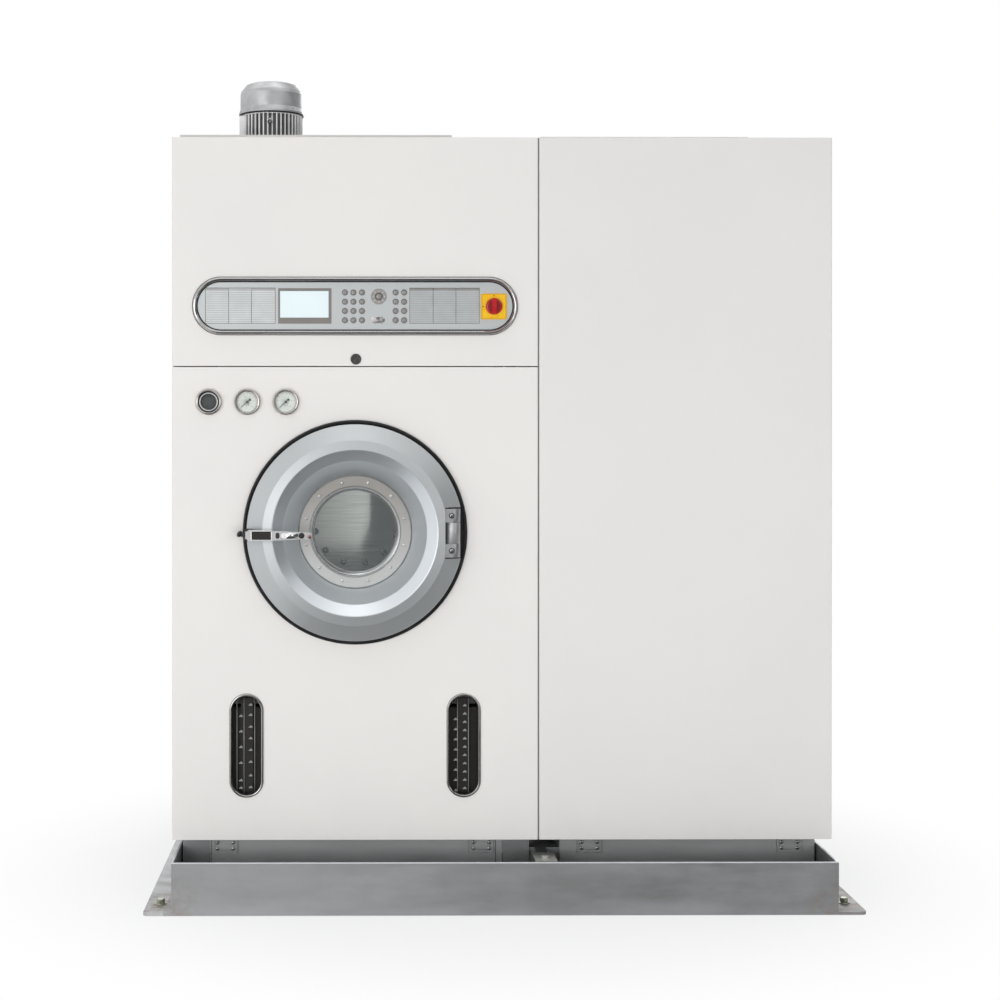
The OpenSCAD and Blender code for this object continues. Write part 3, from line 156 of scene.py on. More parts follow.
def round_ended(cu, cv, half_u, half_v, steps=20):
    """Outline with half-round ends along its longer side."""
    r = min(half_u, half_v)
    du, dv = half_u - r, half_v - r
    points = []
    for i in range(4 * steps):
        a = 2 * math.pi * i / (4 * steps)
        c, s = math.cos(a), math.sin(a)
        points.append((cu + r * c + math.copysign(du, c), cv + r * s + math.copysign(dv, s)))
    return points


def joined(name, pieces):
    """One object from several; modifiers are applied first, so that nothing is lost."""
    depsgraph = bpy.context.evaluated_depsgraph_get()
    mesh = bmesh.new()
    for piece in pieces:
        copy = bpy.data.meshes.new_from_object(piece.evaluated_get(depsgraph))
        mesh.from_mesh(copy)
    result = bpy.data.meshes.new(name)
    mesh.to_mesh(result)
    mesh.free()
    for face in result.polygons:
        face.use_smooth = True
    for piece in pieces:
        bpy.data.objects.remove(piece)
    whole = bpy.data.objects.new(name, result)
    bpy.context.collection.objects.link(whole)
    return whole


# %% [markdown]
# ## Camera
# A product photographer stands a few metres back and shifts the lens, so that upright edges stay upright and
# the machine stays in the middle of the frame. A long lens with a small shift does the same here. Its height
# is a little above the middle of the machine, which is why the underside of the roof fan's cowl shows while
# the floor flanges still spread outwards.

# %% Camera
camera_data = bpy.data.cameras.new("studio_camera")
camera = bpy.data.objects.new("studio_camera", camera_data)
bpy.context.collection.objects.link(camera)
camera_data.lens = 65.0
camera_data.sensor_width = 36.0
camera_data.clip_end = 60.0
camera_data.shift_x = 0.128
camera_data.shift_y = -0.0603
camera.location = (-0.3688, FRONT - 4.687, 1.2204)
YAW_RIGHT = math.radians(0.3678)
PITCH_DOWN = math.radians(0.1269)
camera.rotation_euler = (math.radians(90) - PITCH_DOWN, 0.0, -YAW_RIGHT)
bpy.context.scene.camera = camera
print("camera", [round(v, 3) for v in camera.location])

# %% [markdown]
# ## Studio
# Pale painted steel looks right under broad, even light, so the front lamps are large, stand well back and
# hang no higher than the eye. A low one lifts the tray and the base, one above lights the roof, and one behind
# keeps the back from going dark. Bare metal needs more care, because it shows whatever stands round it. The
# white studio gives it brightness from above and from the left, and three dark flags give it shade from the
# floor, the right and behind the camera. Only mirrors can see the flags: they cast no shadow and take no light.

# %% Sky and lamps
def look_at(item, target):
    item.rotation_euler = (Vector(target) - item.location).to_track_quat("-Z", "Y").to_euler()


def area_lamp(name, place, target, size, watts, colour=(1.0, 1.0, 1.0)):
    data = bpy.data.lights.new(name, "AREA")
    data.shape = "RECTANGLE"
    data.size, data.size_y = size
    data.energy = watts
    data.color = colour
    lamp = bpy.data.objects.new(name, data)
    lamp.location = place
    look_at(lamp, target)
    bpy.context.collection.objects.link(lamp)
    return lamp


def socket_values(node, **values):
    for key, value in values.items():
        node.inputs[key.replace("_", " ")].default_value = value


def seen_rays(tree):
    """1 for rays that show the background: from the camera, off a mirror or through glass."""
    path = tree.nodes.new("ShaderNodeLightPath")
    total = path.outputs["Is Camera Ray"]
    for kind in ("Is Glossy Ray", "Is Transmission Ray"):
        either = tree.nodes.new("ShaderNodeMath")
        either.operation = "MAXIMUM"
        tree.links.new(total, either.inputs[0])
        tree.links.new(path.outputs[kind], either.inputs[1])
        total = either.outputs[0]
    return total


def mixed(tree, factor, first, second):
    mixer = tree.nodes.new("ShaderNodeMixShader")
    for socket, value in zip(mixer.inputs, (factor, first, second)):
        tree.links.new(value, socket)
    return mixer.outputs[0]


SKY_LIGHT = 0.475
world = bpy.data.worlds.new("studio")
bpy.context.scene.world = world
world.use_nodes = True
tree = world.node_tree
tree.nodes.clear()
sky_seen = tree.nodes.new("ShaderNodeBackground")
sky_light = tree.nodes.new("ShaderNodeBackground")
sky_seen.inputs["Color"].default_value = (1, 1, 1, 1)
socket_values(sky_light, Color=(0.95, 0.975, 1.0, 1), Strength=SKY_LIGHT)
world_out = tree.nodes.new("ShaderNodeOutputWorld")
tree.links.new(mixed(tree, seen_rays(tree), sky_light.outputs[0], sky_seen.outputs[0]),
               world_out.inputs["Surface"])

area_lamp("key_lamp", (-3.8, -6.2, 1.5), (-0.3, 0.0, 0.75), (3.4, 2.6), 94)
area_lamp("fill_lamp", (3.4, -6.6, 1.3), (0.3, 0.0, 0.75), (2.6, 2.4), 42, (0.98, 0.99, 1.0))
low_lamp = area_lamp("low_lamp", (-0.2, -5.0, 0.5), (0.0, 0.0, 0.2), (4.8, 0.8), 62)
low_lamp.visible_glossy = False
area_lamp("top_lamp", (-0.6, -0.8, 5.4), (0.0, -0.3, 0.0), (4.0, 3.0), 42)
area_lamp("back_lamp", (0.6, 5.4, 3.2), (0.0, 0.0, 1.0), (4.0, 3.0), 150)
bpy.context.scene.view_settings.view_transform = "Standard"

# %% [markdown]
# ## Floor
# The floor is plain and pale. Towards the machine it is lit paint, which keeps the soft shadow that the
# machine stands in, and further out it fades into the same white as the sky, so no horizon shows. The fade
# follows the distance from the machine, not the camera, and so it holds from every side.

# %% Floor and flags
def plane(name, corners):
    mesh = bpy.data.meshes.new(name)
    mesh.from_pydata(corners, [], [tuple(range(len(corners)))])
    sheet = bpy.data.objects.new(name, mesh)
    bpy.context.collection.objects.link(sheet)
    return sheet


FLOOR_SIZE = 24.0
floor = plane("studio_floor",
              [(x * FLOOR_SIZE, y * FLOOR_SIZE, -0.0004) for x, y in ((-1, -1), (1, -1), (1, 1), (-1, 1))])
paint = bpy.data.materials.new("floor_paint")
paint.use_nodes = True
tree = paint.node_tree
tree.nodes.clear()
lit = tree.nodes.new("ShaderNodeBsdfDiffuse")
lit.inputs["Color"].default_value = (0.84, 0.84, 0.84, 1)
white = tree.nodes.new("ShaderNodeEmission")
white.inputs["Strength"].default_value = 1.0
here = tree.nodes.new("ShaderNodeTexCoord")
distance = tree.nodes.new("ShaderNodeVectorMath")
distance.operation = "LENGTH"
tree.links.new(here.outputs["Object"], distance.inputs[0])
fade = tree.nodes.new("ShaderNodeMapRange")
socket_values(fade, From_Min=0.8, From_Max=1.6, To_Min=0.74, To_Max=1.0)
fade.interpolation_type = "SMOOTHSTEP"
tree.links.new(distance.outputs["Value"], fade.inputs["Value"])
shown = tree.nodes.new("ShaderNodeMath")
shown.operation = "MULTIPLY"
tree.links.new(seen_rays(tree), shown.inputs[0])
tree.links.new(fade.outputs[0], shown.inputs[1])
floor_out = tree.nodes.new("ShaderNodeOutputMaterial")
tree.links.new(mixed(tree, shown.outputs[0], lit.outputs[0], white.outputs[0]), floor_out.inputs["Surface"])
floor.data.materials.append(paint)

flag_cloth = bpy.data.materials.new("flag_cloth")
flag_cloth.use_nodes = True
tree = flag_cloth.node_tree
tree.nodes.clear()
dark = tree.nodes.new("ShaderNodeEmission")
dark.inputs["Color"].default_value = (0.075, 0.077, 0.08, 1)
flag_out = tree.nodes.new("ShaderNodeOutputMaterial")
tree.links.new(dark.outputs[0], flag_out.inputs["Surface"])
FLAGS = {
    "flag_below": [(-1.9, -4.8, 0.004), (3.6, -4.8, 0.004), (3.6, -0.72, 0.004), (-1.1, -0.72, 0.004)],
    "flag_behind": [(-0.30, -7.4, 0.0), (4.6, -7.4, 0.0), (4.6, -7.4, 3.4), (-0.30, -7.4, 3.4)],
    "flag_right": [(4.7, -7.2, 0.0), (4.7, 4.0, 0.0), (4.7, 4.0, 4.2), (4.7, -7.2, 4.2)],
}


def for_mirrors(sheet, finish, shadow=False):
    """Hides a sheet from everything but mirrors; it may still be let to stop light."""
    sheet.data.materials.append(finish)
    for ray in ("camera", "diffuse", "transmission", "volume_scatter"):
        setattr(sheet, "visible_" + ray, False)
    sheet.visible_shadow = shadow


for name, corners in FLAGS.items():
    for_mirrors(plane(name, corners), flag_cloth)
print("lamps and", len(FLAGS), "flags are up")

# %% [markdown]
# ## Making materials
# Every finish is built from the same few steps. A principled shader gets its constant numbers, noise read at
# the piece's own coordinates breaks up its roughness and colour, and a fine bump gives it grain. Because each
# mesh keeps its place in its own points, the coordinates are metres on the machine, so grain is given in
# real sizes and stays on the piece when a door swings.

# %% Helpers for materials
def material(name, base, roughness=0.5, metallic=0.0, **sockets):
    """A new material and its shader; further sockets are given with underscores for spaces."""
    made = bpy.data.materials.new(name)
    made.use_nodes = True
    shader = made.node_tree.nodes["Principled BSDF"]
    shader.inputs["Base Color"].default_value = (*base, 1)
    shader.inputs["Roughness"].default_value = roughness
    shader.inputs["Metallic"].default_value = metallic
    socket_values(shader, **sockets)
    return made, shader


def wire(made, kind, inputs=None, **settings):
    """Adds a node to a material; each input is a value or another node's output."""
    new = made.node_tree.nodes.new(kind)
    for key, value in settings.items():
        setattr(new, key, value)
    for key, value in (inputs or {}).items():
        if isinstance(value, bpy.types.NodeSocket):
            made.node_tree.links.new(value, new.inputs[key])
        else:
            new.inputs[key].default_value = value
    return new


def place_of(made, stretch=(1, 1, 1), origin=(0, 0, 0)):
    """The piece's own coordinates in metres, moved to an origin and then stretched."""
    coordinates = wire(made, "ShaderNodeTexCoord")
    moved = wire(made, "ShaderNodeVectorMath", {0: coordinates.outputs["Object"], 1: origin},
                 operation="SUBTRACT")
    scaled = wire(made, "ShaderNodeVectorMath", {0: moved.outputs[0], 1: stretch}, operation="MULTIPLY")
    return scaled.outputs[0]


def noise(made, scale, detail=2.0, rough=0.5, stretch=(1, 1, 1), origin=(0, 0, 0)):
    """Noise whose size is 1 / scale metres, stretched where a finish has a direction."""
    return wire(made, "ShaderNodeTexNoise", {"Vector": place_of(made, stretch, origin), "Scale": scale,
                                             "Detail": detail, "Roughness": rough}).outputs["Fac"]


def between(made, value, low, high, to_low, to_high):
    """Maps a value from one range to another and clamps it."""
    return wire(made, "ShaderNodeMapRange", {"Value": value, "From Min": low, "From Max": high,
                                             "To Min": to_low, "To Max": to_high}).outputs[0]


def blend_colour(made, factor, first, second):
    """Mixes two colours or colour outputs."""
    mixer = wire(made, "ShaderNodeMix", data_type="RGBA")
    for socket, value in ((mixer.inputs[0], factor), (mixer.inputs[6], first), (mixer.inputs[7], second)):
        if isinstance(value, bpy.types.NodeSocket):
            made.node_tree.links.new(value, socket)
        elif isinstance(value, tuple):
            socket.default_value = (*value, 1)
        else:
            socket.default_value = value
    return mixer.outputs[2]


def combine(made, operation, first, second):
    return wire(made, "ShaderNodeMath", {0: first, 1: second}, operation=operation, use_clamp=True).outputs[0]


def set_links(made, shader, **links):
    for key, output in links.items():
        made.node_tree.links.new(output, shader.inputs[key.replace("_", " ")])


def bump(made, shader, height, strength, distance):
    """Grain on the surface; the distance is the height of the grain in metres."""
    node = wire(made, "ShaderNodeBump", {"Height": height, "Strength": strength, "Distance": distance})
    made.node_tree.links.new(node.outputs[0], shader.inputs["Normal"])


def worn_edges(made, size, samples=6):
    """1 along outer edges and 0 on flat faces, from the angle between a rounded and the true surface."""
    soft = wire(made, "ShaderNodeBevel", {"Radius": size}, samples=samples).outputs[0]
    true = wire(made, "ShaderNodeNewGeometry").outputs["Normal"]
    agree = wire(made, "ShaderNodeVectorMath", {0: soft, 1: true}, operation="DOT_PRODUCT").outputs["Value"]
    return between(made, agree, 0.995, 0.80, 0.0, 1.0)


def distance_from(made, point, use=(1, 1, 1)):
    """Distance in metres from a point; an axis that isn't used is left out."""
    return wire(made, "ShaderNodeVectorMath", {0: place_of(made, use, point)},
                operation="LENGTH").outputs["Value"]


def coordinate(made, axis):
    split = wire(made, "ShaderNodeSeparateXYZ", {0: place_of(made)})
    return split.outputs["XYZ".index(axis)]


def overlay(made, mask, colour):
    """Lays a colour over a finish where the mask is 1, and returns the shader."""
    shader = made.node_tree.nodes["Principled BSDF"]
    under = shader.inputs["Base Color"].links[0].from_socket
    set_links(made, shader, Base_Color=blend_colour(made, mask, under, colour))
    return shader


def dress(made, *names):
    """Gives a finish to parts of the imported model."""
    for name in names:
        for slot in nodes[name].material_slots:
            slot.material = made
    print("finish", made.name, "on", len(names), "parts")


# %% [markdown]
# ## Powder-coated cabinets
# The doors and side walls are thin steel sheet with a pale powder coat. The powder melts into a satin film with
# the faint ripple of orange peel, a few millimetres from crest to crest. It gathers a little dust towards the
# bottom. The taller cabinet's coat is a darker copy of the other: painted shade where less light reaches it.

# %% Powder coat
def powder_coat(name, base, shade):
    made, shader = material(name, base, 0.42, Specular_IOR_Level=0.42)
    ripple = noise(made, 330, 2.0)
    cloud = noise(made, 2.2, 3.0)
    height = coordinate(made, "Z")
    dust = combine(made, "MULTIPLY", between(made, height, 0.50, 0.16, 0.0, 0.35), noise(made, 9, 4.0))
    tint = blend_colour(made, between(made, cloud, 0.35, 0.7, 0.0, 0.6), base, shade)
    grey = tuple(0.86 * v for v in shade)
    set_links(made, shader, Base_Color=blend_colour(made, dust, tint, grey),
              Roughness=between(made, noise(made, 14, 3.0), 0.3, 0.7, 0.36, 0.48))
    bump(made, shader, ripple, 0.10, 0.0006)
    return made


LEFT_COAT = powder_coat("powder_coat", (0.775, 0.748, 0.722), (0.745, 0.72, 0.70))
# The right cabinet's coat is a darker copy of the left one: painted shade.
RIGHT_COAT_SHADED = powder_coat("powder_coat_right_shaded", (0.742, 0.722, 0.700), (0.715, 0.697, 0.678))
dress(LEFT_COAT, "upper_front_panel", "lower_front_panel", "cabinet_panels", "roof_covers")
dress(RIGHT_COAT_SHADED, "right_front_panel")

# %% [markdown]
# ## The drip tray and its frame
# The tray is welded plate with a thin coat of grey primer, which shows through in clouds where it was
# sprayed unevenly. Edges are rubbed bright. Round each floor bolt the coat is stained by rust and by dirt that
# the mop leaves, so the stain follows the distance from the four bolts. The tray grows paler towards the left,
# its left floor flange is paler still, and a painted highlight runs along its top rim; masks along x and z give
# these. The joining plate in the middle of the frame is galvanised, with the spangle of zinc, which a cell
# texture gives.

# %% Grey paint, rust and zinc
BOLT_X, BOLT_Y = 0.886, 0.560
FLANGE_X = -0.8700
RIM_Z = 0.1326
GALVANISED = (Vector((0.110, FRONT, 0.10)), 0.034)


def primer(name, light, dark, rust=False, zinc=False):
    made, shader = material(name, light, 0.5, 0.25)
    cloud = between(made, noise(made, 5.5, 5.0, 0.6, (0.55, 1, 2.4)), 0.32, 0.68, 0.0, 1.0)
    speck = between(made, noise(made, 260, 2.0), 0.62, 0.75, 0.0, 0.35)
    colour = blend_colour(made, cloud, light, dark)
    colour = blend_colour(made, speck, colour, tuple(0.6 * v for v in dark))
    colour = blend_colour(made, combine(made, "MULTIPLY", worn_edges(made, 0.003), noise(made, 40, 3.0)),
                          colour,
                          (0.55, 0.56, 0.57))
    rough = between(made, noise(made, 18, 4.0), 0.3, 0.7, 0.38, 0.62)
    if rust:
        # The whole tray grows paler towards the left.
        paler_to_left = between(made, coordinate(made, "X"), 0.35, -0.85, 0.0, 0.55)
        colour = blend_colour(made, paler_to_left, colour, (0.42, 0.425, 0.43))
        flange = between(made, coordinate(made, "X"), FLANGE_X, FLANGE_X - 0.0012, 0.0, 0.75)
        colour = blend_colour(made, flange, colour, (0.52, 0.53, 0.53))
        # The bright line along the tray's top rim is a painted highlight.
        rim = between(made, coordinate(made, "Z"), RIM_Z, RIM_Z + 0.0006, 0.0, 0.85)
        colour = blend_colour(made, rim, colour, (0.78, 0.79, 0.81))
        for x in (-BOLT_X, BOLT_X):
            for y in (-BOLT_Y, BOLT_Y):
                near = between(made, distance_from(made, (x, y, 0)), 0.16, 0.012, 0.0, 0.8)
                stain = combine(made, "MULTIPLY", near,
                                between(made, noise(made, 38, 6.0, 0.7), 0.42, 0.62, 0.0, 1.0))
                colour = blend_colour(made, stain, colour, (0.20, 0.105, 0.055))
    if zinc:
        cells = wire(made, "ShaderNodeTexVoronoi",
                     {"Vector": place_of(made), "Scale": 130.0}).outputs["Color"]
        spangle = wire(made, "ShaderNodeSeparateColor", {0: cells}).outputs[0]
        metal = blend_colour(made, spangle, (0.50, 0.50, 0.47), (0.66, 0.65, 0.60))
        inside = between(made, distance_from(made, GALVANISED[0], (1, 0, 0)), GALVANISED[1],
                         GALVANISED[1] - 0.001, 0, 1)
        front = between(made, coordinate(made, "Y"), -0.502, -0.503, 0.0, 1.0)
        above = between(made, coordinate(made, "Z"), 0.060, 0.061, 0.0, 1.0)
        plate = combine(made, "MULTIPLY", combine(made, "MULTIPLY", inside, front), above)
        colour = blend_colour(made, plate, colour, metal)
        rough = wire(made, "ShaderNodeMix", {0: plate, 2: rough, 3: 0.3}).outputs[0]
    set_links(made, shader, Base_Color=colour, Roughness=rough)
    bump(made, shader, noise(made, 210, 3.0), 0.16, 0.0005)
    return made


dress(primer("tray_primer", (0.275, 0.28, 0.285), (0.185, 0.185, 0.185), rust=True), "drip_tray")
dress(primer("frame_primer", (0.30, 0.305, 0.31), (0.23, 0.235, 0.235), zinc=True), "machine_frame")
dress(primer("plinth_primer", (0.42, 0.43, 0.43), (0.34, 0.345, 0.345)), "plinth_panels")

# %% [markdown]
# ## Bright trim
# The trims round the tank windows and the control panel are chrome over a dark base, which reads as smoky. It
# isn't a perfect mirror: wiping leaves a faint haze, so its roughness wanders between two low values. The
# instruments' bezels are plain steel, a little rougher again.

# %% Chrome
def chrome(name, base, low, high):
    made, shader = material(name, base, low, 1.0)
    set_links(made, shader, Roughness=between(made, noise(made, 26, 4.0), 0.35, 0.7, low, high),
              Base_Color=blend_colour(made, noise(made, 60, 2.0), base, tuple(0.93 * v for v in base)))
    bump(made, shader, noise(made, 90, 2.0), 0.05, 0.0004)
    return made


SMOKY_CHROME = chrome("smoky_chrome", (0.42, 0.415, 0.41), 0.10, 0.22)
STEEL_BEZEL = chrome("steel_bezel", (0.46, 0.435, 0.41), 0.20, 0.34)
WINDOW_CHROME = chrome("window_chrome", (0.42, 0.41, 0.40), 0.14, 0.26)
dress(WINDOW_CHROME, "window_bezels")
dress(SMOKY_CHROME, "control_bezel")
dress(STEEL_BEZEL, "instruments")

# %% [markdown]
# ## Brushed and turned metal
# Brushing leaves long fine scratches along one direction, which noise shows when it is stretched a hundred
# times along the brush. The door was turned on a lathe, so its marks run round its axis: the same noise is
# read at the distance from that axis instead, which gives rings at every radius.

# %% Brushed sheet and turned castings
def brushed(name, base, stretch, rough=(0.26, 0.42), metallic=1.0, depth=0.12, tone=0.86):
    made, shader = material(name, base, rough[0], metallic)
    marks = noise(made, 1.0, 3.0, 0.65, stretch)
    cloud = noise(made, 3.5, 3.0)
    colour = blend_colour(made, marks, tuple(tone * v for v in base), base)
    colour = blend_colour(made, between(made, cloud, 0.3, 0.7, 0.0, 0.4), colour,
                          tuple(0.9 * v for v in base))
    set_links(made, shader, Base_Color=colour, Roughness=between(made, marks, 0.3, 0.7, *rough))
    bump(made, shader, marks, depth, 0.0004)
    return made


def lathe_turned(name, base, centre, rough=(0.28, 0.42), metallic=1.0, axis_use=(1, 0, 1), depth=0.10):
    made, shader = material(name, base, rough[0], metallic)
    radius = distance_from(made, tuple(centre), axis_use)
    rings = wire(made, "ShaderNodeTexNoise", {"W": radius, "Scale": 620.0, "Detail": 3.0},
                 noise_dimensions="1D")
    rings = rings.outputs["Fac"]
    grain = noise(made, 420, 2.0)
    colour = blend_colour(made, rings, tuple(0.88 * v for v in base), base)
    set_links(made, shader, Base_Color=blend_colour(made, between(made, grain, 0.4, 0.7, 0, 0.5), colour,
                                                    tuple(0.86 * v for v in base)),
              Roughness=between(made, rings, 0.3, 0.7, *rough))
    bump(made, shader, rings, depth, 0.0003)
    return made


DOOR_METAL = lathe_turned("turned_door", (0.54, 0.56, 0.57), DOOR, (0.40, 0.54), 0.68)
FUNNEL_R = 0.2128
from_axis = distance_from(DOOR_METAL, tuple(DOOR), (1, 0, 1))
funnel = between(DOOR_METAL, from_axis, FUNNEL_R + 0.0004, FUNNEL_R - 0.0004, 0.0, 1.0)
door_shader = overlay(DOOR_METAL, funnel, (0.70, 0.735, 0.76))
band_rough = door_shader.inputs["Roughness"].links[0].from_socket
smoother = between(DOOR_METAL, funnel, 0.0, 1.0, 0.0, 0.06)
set_links(DOOR_METAL, door_shader, Metallic=between(DOOR_METAL, funnel, 0.0, 1.0, 0.68, 0.88),
          Roughness=combine(DOOR_METAL, "SUBTRACT", band_rough, smoother))
RING_METAL_SHADED_TOP = lathe_turned("turned_ring_shaded_top", (0.60, 0.605, 0.595), DOOR, (0.40, 0.52), 0.6)
dress(DOOR_METAL, "door_disc")
# The clamp ring darkens towards its top: painted shade.
overlay(RING_METAL_SHADED_TOP, between(RING_METAL_SHADED_TOP, coordinate(RING_METAL_SHADED_TOP, "Z"), 0.88, 1.08, 0.0, 0.72),
        (0.27, 0.245, 0.22))
dress(RING_METAL_SHADED_TOP, "clamp_ring")
DRUM_METAL = brushed("drum_stainless", (0.70, 0.73, 0.71), (14, 14, 900), (0.24, 0.40))
dress(DRUM_METAL, "drum")
SHEET_METAL = brushed("stainless", (0.62, 0.63, 0.63), (16, 700, 16), (0.28, 0.44))
dress(SHEET_METAL, "drum_shell", "solvent_circuit")
PANEL_METAL = brushed("brushed_panel", (0.535, 0.555, 0.557), (9, 60, 1300), (0.34, 0.46), 0.35, 0.05, 0.94)
dress(PANEL_METAL, "control_face")

# %% [markdown]
# ## Castings and paint
# The roof fan's motor is a die casting under pale paint, with the slight grain of the mould. Little light gets
# between its fins, so the paint darkens there with the distance from the fan's axis. The drive motor
# has a blue-grey machine enamel, and the pulleys are grey iron with machined rims. Small steel fittings are
# satin, and the same worn-edge mask turns them bright on the outside.

# %% Cast, enamelled and plain steel parts
def casting(name, base, rough=0.42, metallic=0.7, grain=300, dark=0.72, edge=None):
    made, shader = material(name, base, rough, metallic)
    cloud = noise(made, 22, 4.0)
    colour = blend_colour(made, between(made, cloud, 0.35, 0.7, 0.0, 1.0), base,
                          tuple(dark * v for v in base))
    if edge:
        colour = blend_colour(made, combine(made, "MULTIPLY", worn_edges(made, 0.0015), noise(made, 90, 3.0)),
                              colour, edge)
    set_links(made, shader, Base_Color=colour,
              Roughness=between(made, noise(made, 70, 3.0), 0.3, 0.7, rough - 0.08, rough + 0.1))
    bump(made, shader, noise(made, grain, 3.0, 0.6), 0.14, 0.0004)
    return made


SILVER_PAINT = casting("silver_paint", (0.49, 0.50, 0.51), 0.42, 0.70, edge=(0.72, 0.73, 0.74))
ENAMEL = casting("blue_grey_enamel", (0.12, 0.165, 0.19), 0.36, 0.0, 160, 0.8, edge=(0.3, 0.32, 0.33))
IRON = casting("grey_iron", (0.22, 0.225, 0.23), 0.45, 0.6, 240, edge=(0.5, 0.5, 0.5))
STEEL = casting("satin_steel", (0.50, 0.505, 0.51), 0.34, 0.9, 380, 0.82, edge=(0.68, 0.68, 0.68))
BLACK_STEEL = casting("black_steel", (0.025, 0.025, 0.027), 0.42, 0.2, 300, 0.8, edge=(0.12, 0.12, 0.12))
TANK_PAINT = casting("tank_paint", (0.014, 0.011, 0.009), 0.5, 0.0, 160, 0.8)
FIN_PAINT = casting("fin_paint", (0.84, 0.84, 0.84), 0.5, 0.25, edge=(0.88, 0.88, 0.88))
FIN_TIP, FIN_ROOT = 0.0835, 0.0780
fin_reach = distance_from(FIN_PAINT, tuple(span("fan_cowl")[2]), (1, 1, 0))
overlay(FIN_PAINT, between(FIN_PAINT, fin_reach, FIN_TIP, FIN_ROOT, 0.0, 0.80), (0.05, 0.045, 0.042))
dress(SILVER_PAINT, "fan_cowl", "fan_impeller")
dress(FIN_PAINT, "fan_motor")
dress(ENAMEL, "drive_motor")
dress(IRON, "drum_pulley", "motor_pulley")
dress(STEEL, "key_switch")
HINGE_STEEL = casting("hinge_steel", (0.44, 0.445, 0.45), 0.42, 0.7, 380, 0.85)
dress(HINGE_STEEL, "hinge_bracket")
dress(casting("dark_nickel", (0.10, 0.095, 0.09), 0.3, 0.9, 380, 0.8, edge=(0.5, 0.5, 0.5)), "cam_lock")
dress(BLACK_STEEL, "latch_catch", "needle_left", "needle_right")
dress(TANK_PAINT, "solvent_tanks")

# %% [markdown]
# The door's fittings are one part in the model, but they are two metals: the hinge blocks on the right are
# bright steel and the lever's fork on the left is black. The coordinate across the door tells them apart.

# %% Steel hinge blocks and a black fork
FITTINGS = casting("door_fittings", (0.44, 0.445, 0.45), 0.42, 0.7, 380, 0.85)
on_left = between(FITTINGS, coordinate(FITTINGS, "X"), DOOR.x + 0.01, DOOR.x - 0.01, 0.0, 1.0)
fittings_shader = overlay(FITTINGS, on_left, (0.012, 0.012, 0.013))
set_links(FITTINGS, fittings_shader, Metallic=between(FITTINGS, on_left, 0.0, 1.0, 0.9, 0.1))
dress(FITTINGS, "door_fittings")

# %% [markdown]
# ## Rubber, plastic and glass
# Rubber is a very dark, matt surface with a dusty bloom. The switch's parts are glossy plastic, and the
# display's frame is a warm grey one. The door's glass stays mostly clear: part of the light passes straight
# through by the shader's alpha, so that the drum behind it is lit, and the rest is a clean mirror.

# %% Soft and clear materials
def rubber(name, base, bloom):
    made, shader = material(name, base, 0.55, Specular_IOR_Level=0.35)
    dusty = between(made, noise(made, 30, 5.0, 0.65), 0.45, 0.75, 0.0, 0.7)
    set_links(made, shader, Base_Color=blend_colour(made, dusty, base, bloom),
              Roughness=between(made, noise(made, 45, 3.0), 0.3, 0.7, 0.42, 0.66))
    bump(made, shader, noise(made, 520, 2.0), 0.12, 0.0003)
    return made


def plastic(name, base, rough=0.3, grain=500, depth=0.04, **sockets):
    made, shader = material(name, base, rough, **sockets)
    worn = between(made, noise(made, 35, 4.0), 0.35, 0.7, 0.0, 1.0)
    set_links(made, shader, Base_Color=blend_colour(made, worn, base, tuple(0.92 * v for v in base)),
              Roughness=between(made, noise(made, 60, 3.0), 0.3, 0.7, rough - 0.06, rough + 0.1))
    bump(made, shader, noise(made, grain, 2.0), depth, 0.0003)
    return made


SEAL_RUBBER = rubber("seal_rubber", (0.010, 0.010, 0.011), (0.032, 0.032, 0.034))
dress(SEAL_RUBBER, "door_seal", "drive_belt")
YELLOW = plastic("yellow_plastic", (0.93, 0.56, 0.015), 0.28, Coat_Weight=0.2)
RED = plastic("red_plastic", (0.47, 0.006, 0.010), 0.26, Coat_Weight=0.3)
DISPLAY_FRAME = plastic("display_frame", (0.205, 0.19, 0.178), 0.42)
dress(YELLOW, "switch_plate")
dress(RED, "switch_knob")
dress(DISPLAY_FRAME, "display")

KEY_METAL = brushed("key_metal", (0.30, 0.30, 0.29), (900, 60, 900), (0.28, 0.4), 0.6, 0.04, 0.95)
KEY_NAMES = [f"number_key_{i}" for i in range(1, 13)] + [f"function_key_{i}" for i in range(1, 9)]
dress(KEY_METAL, "cursor_key", *KEY_NAMES)
CURSOR_METAL = plastic("cursor_plastic", (0.30, 0.28, 0.265), 0.35)
dress(CURSOR_METAL, "cursor_ring")


def glass(name, base, alpha, rough=0.03):
    made, shader = material(name, base, rough, IOR=1.46, Specular_IOR_Level=0.5, Alpha=alpha)
    smear = between(made, noise(made, 11, 4.0, 0.6, (1, 1, 2.5)), 0.3, 0.75, rough, rough + 0.06)
    set_links(made, shader, Roughness=smear)
    made.surface_render_method = "BLENDED"
    return made


DOOR_GLASS = glass("door_glass", (0.50, 0.55, 0.54), 0.07)
dress(DOOR_GLASS, "door_glass")

# %% [markdown]
# ## Softening the sharp edges
# Pressed and cast parts never have perfectly sharp edges, and the thin bright line along an edge is what tells
# the eye how thick a part is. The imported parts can't be reshaped, but they may carry modifiers: a weld joins
# the points that the file format keeps apart, and a narrow bevel then rounds every edge that turns sharply.

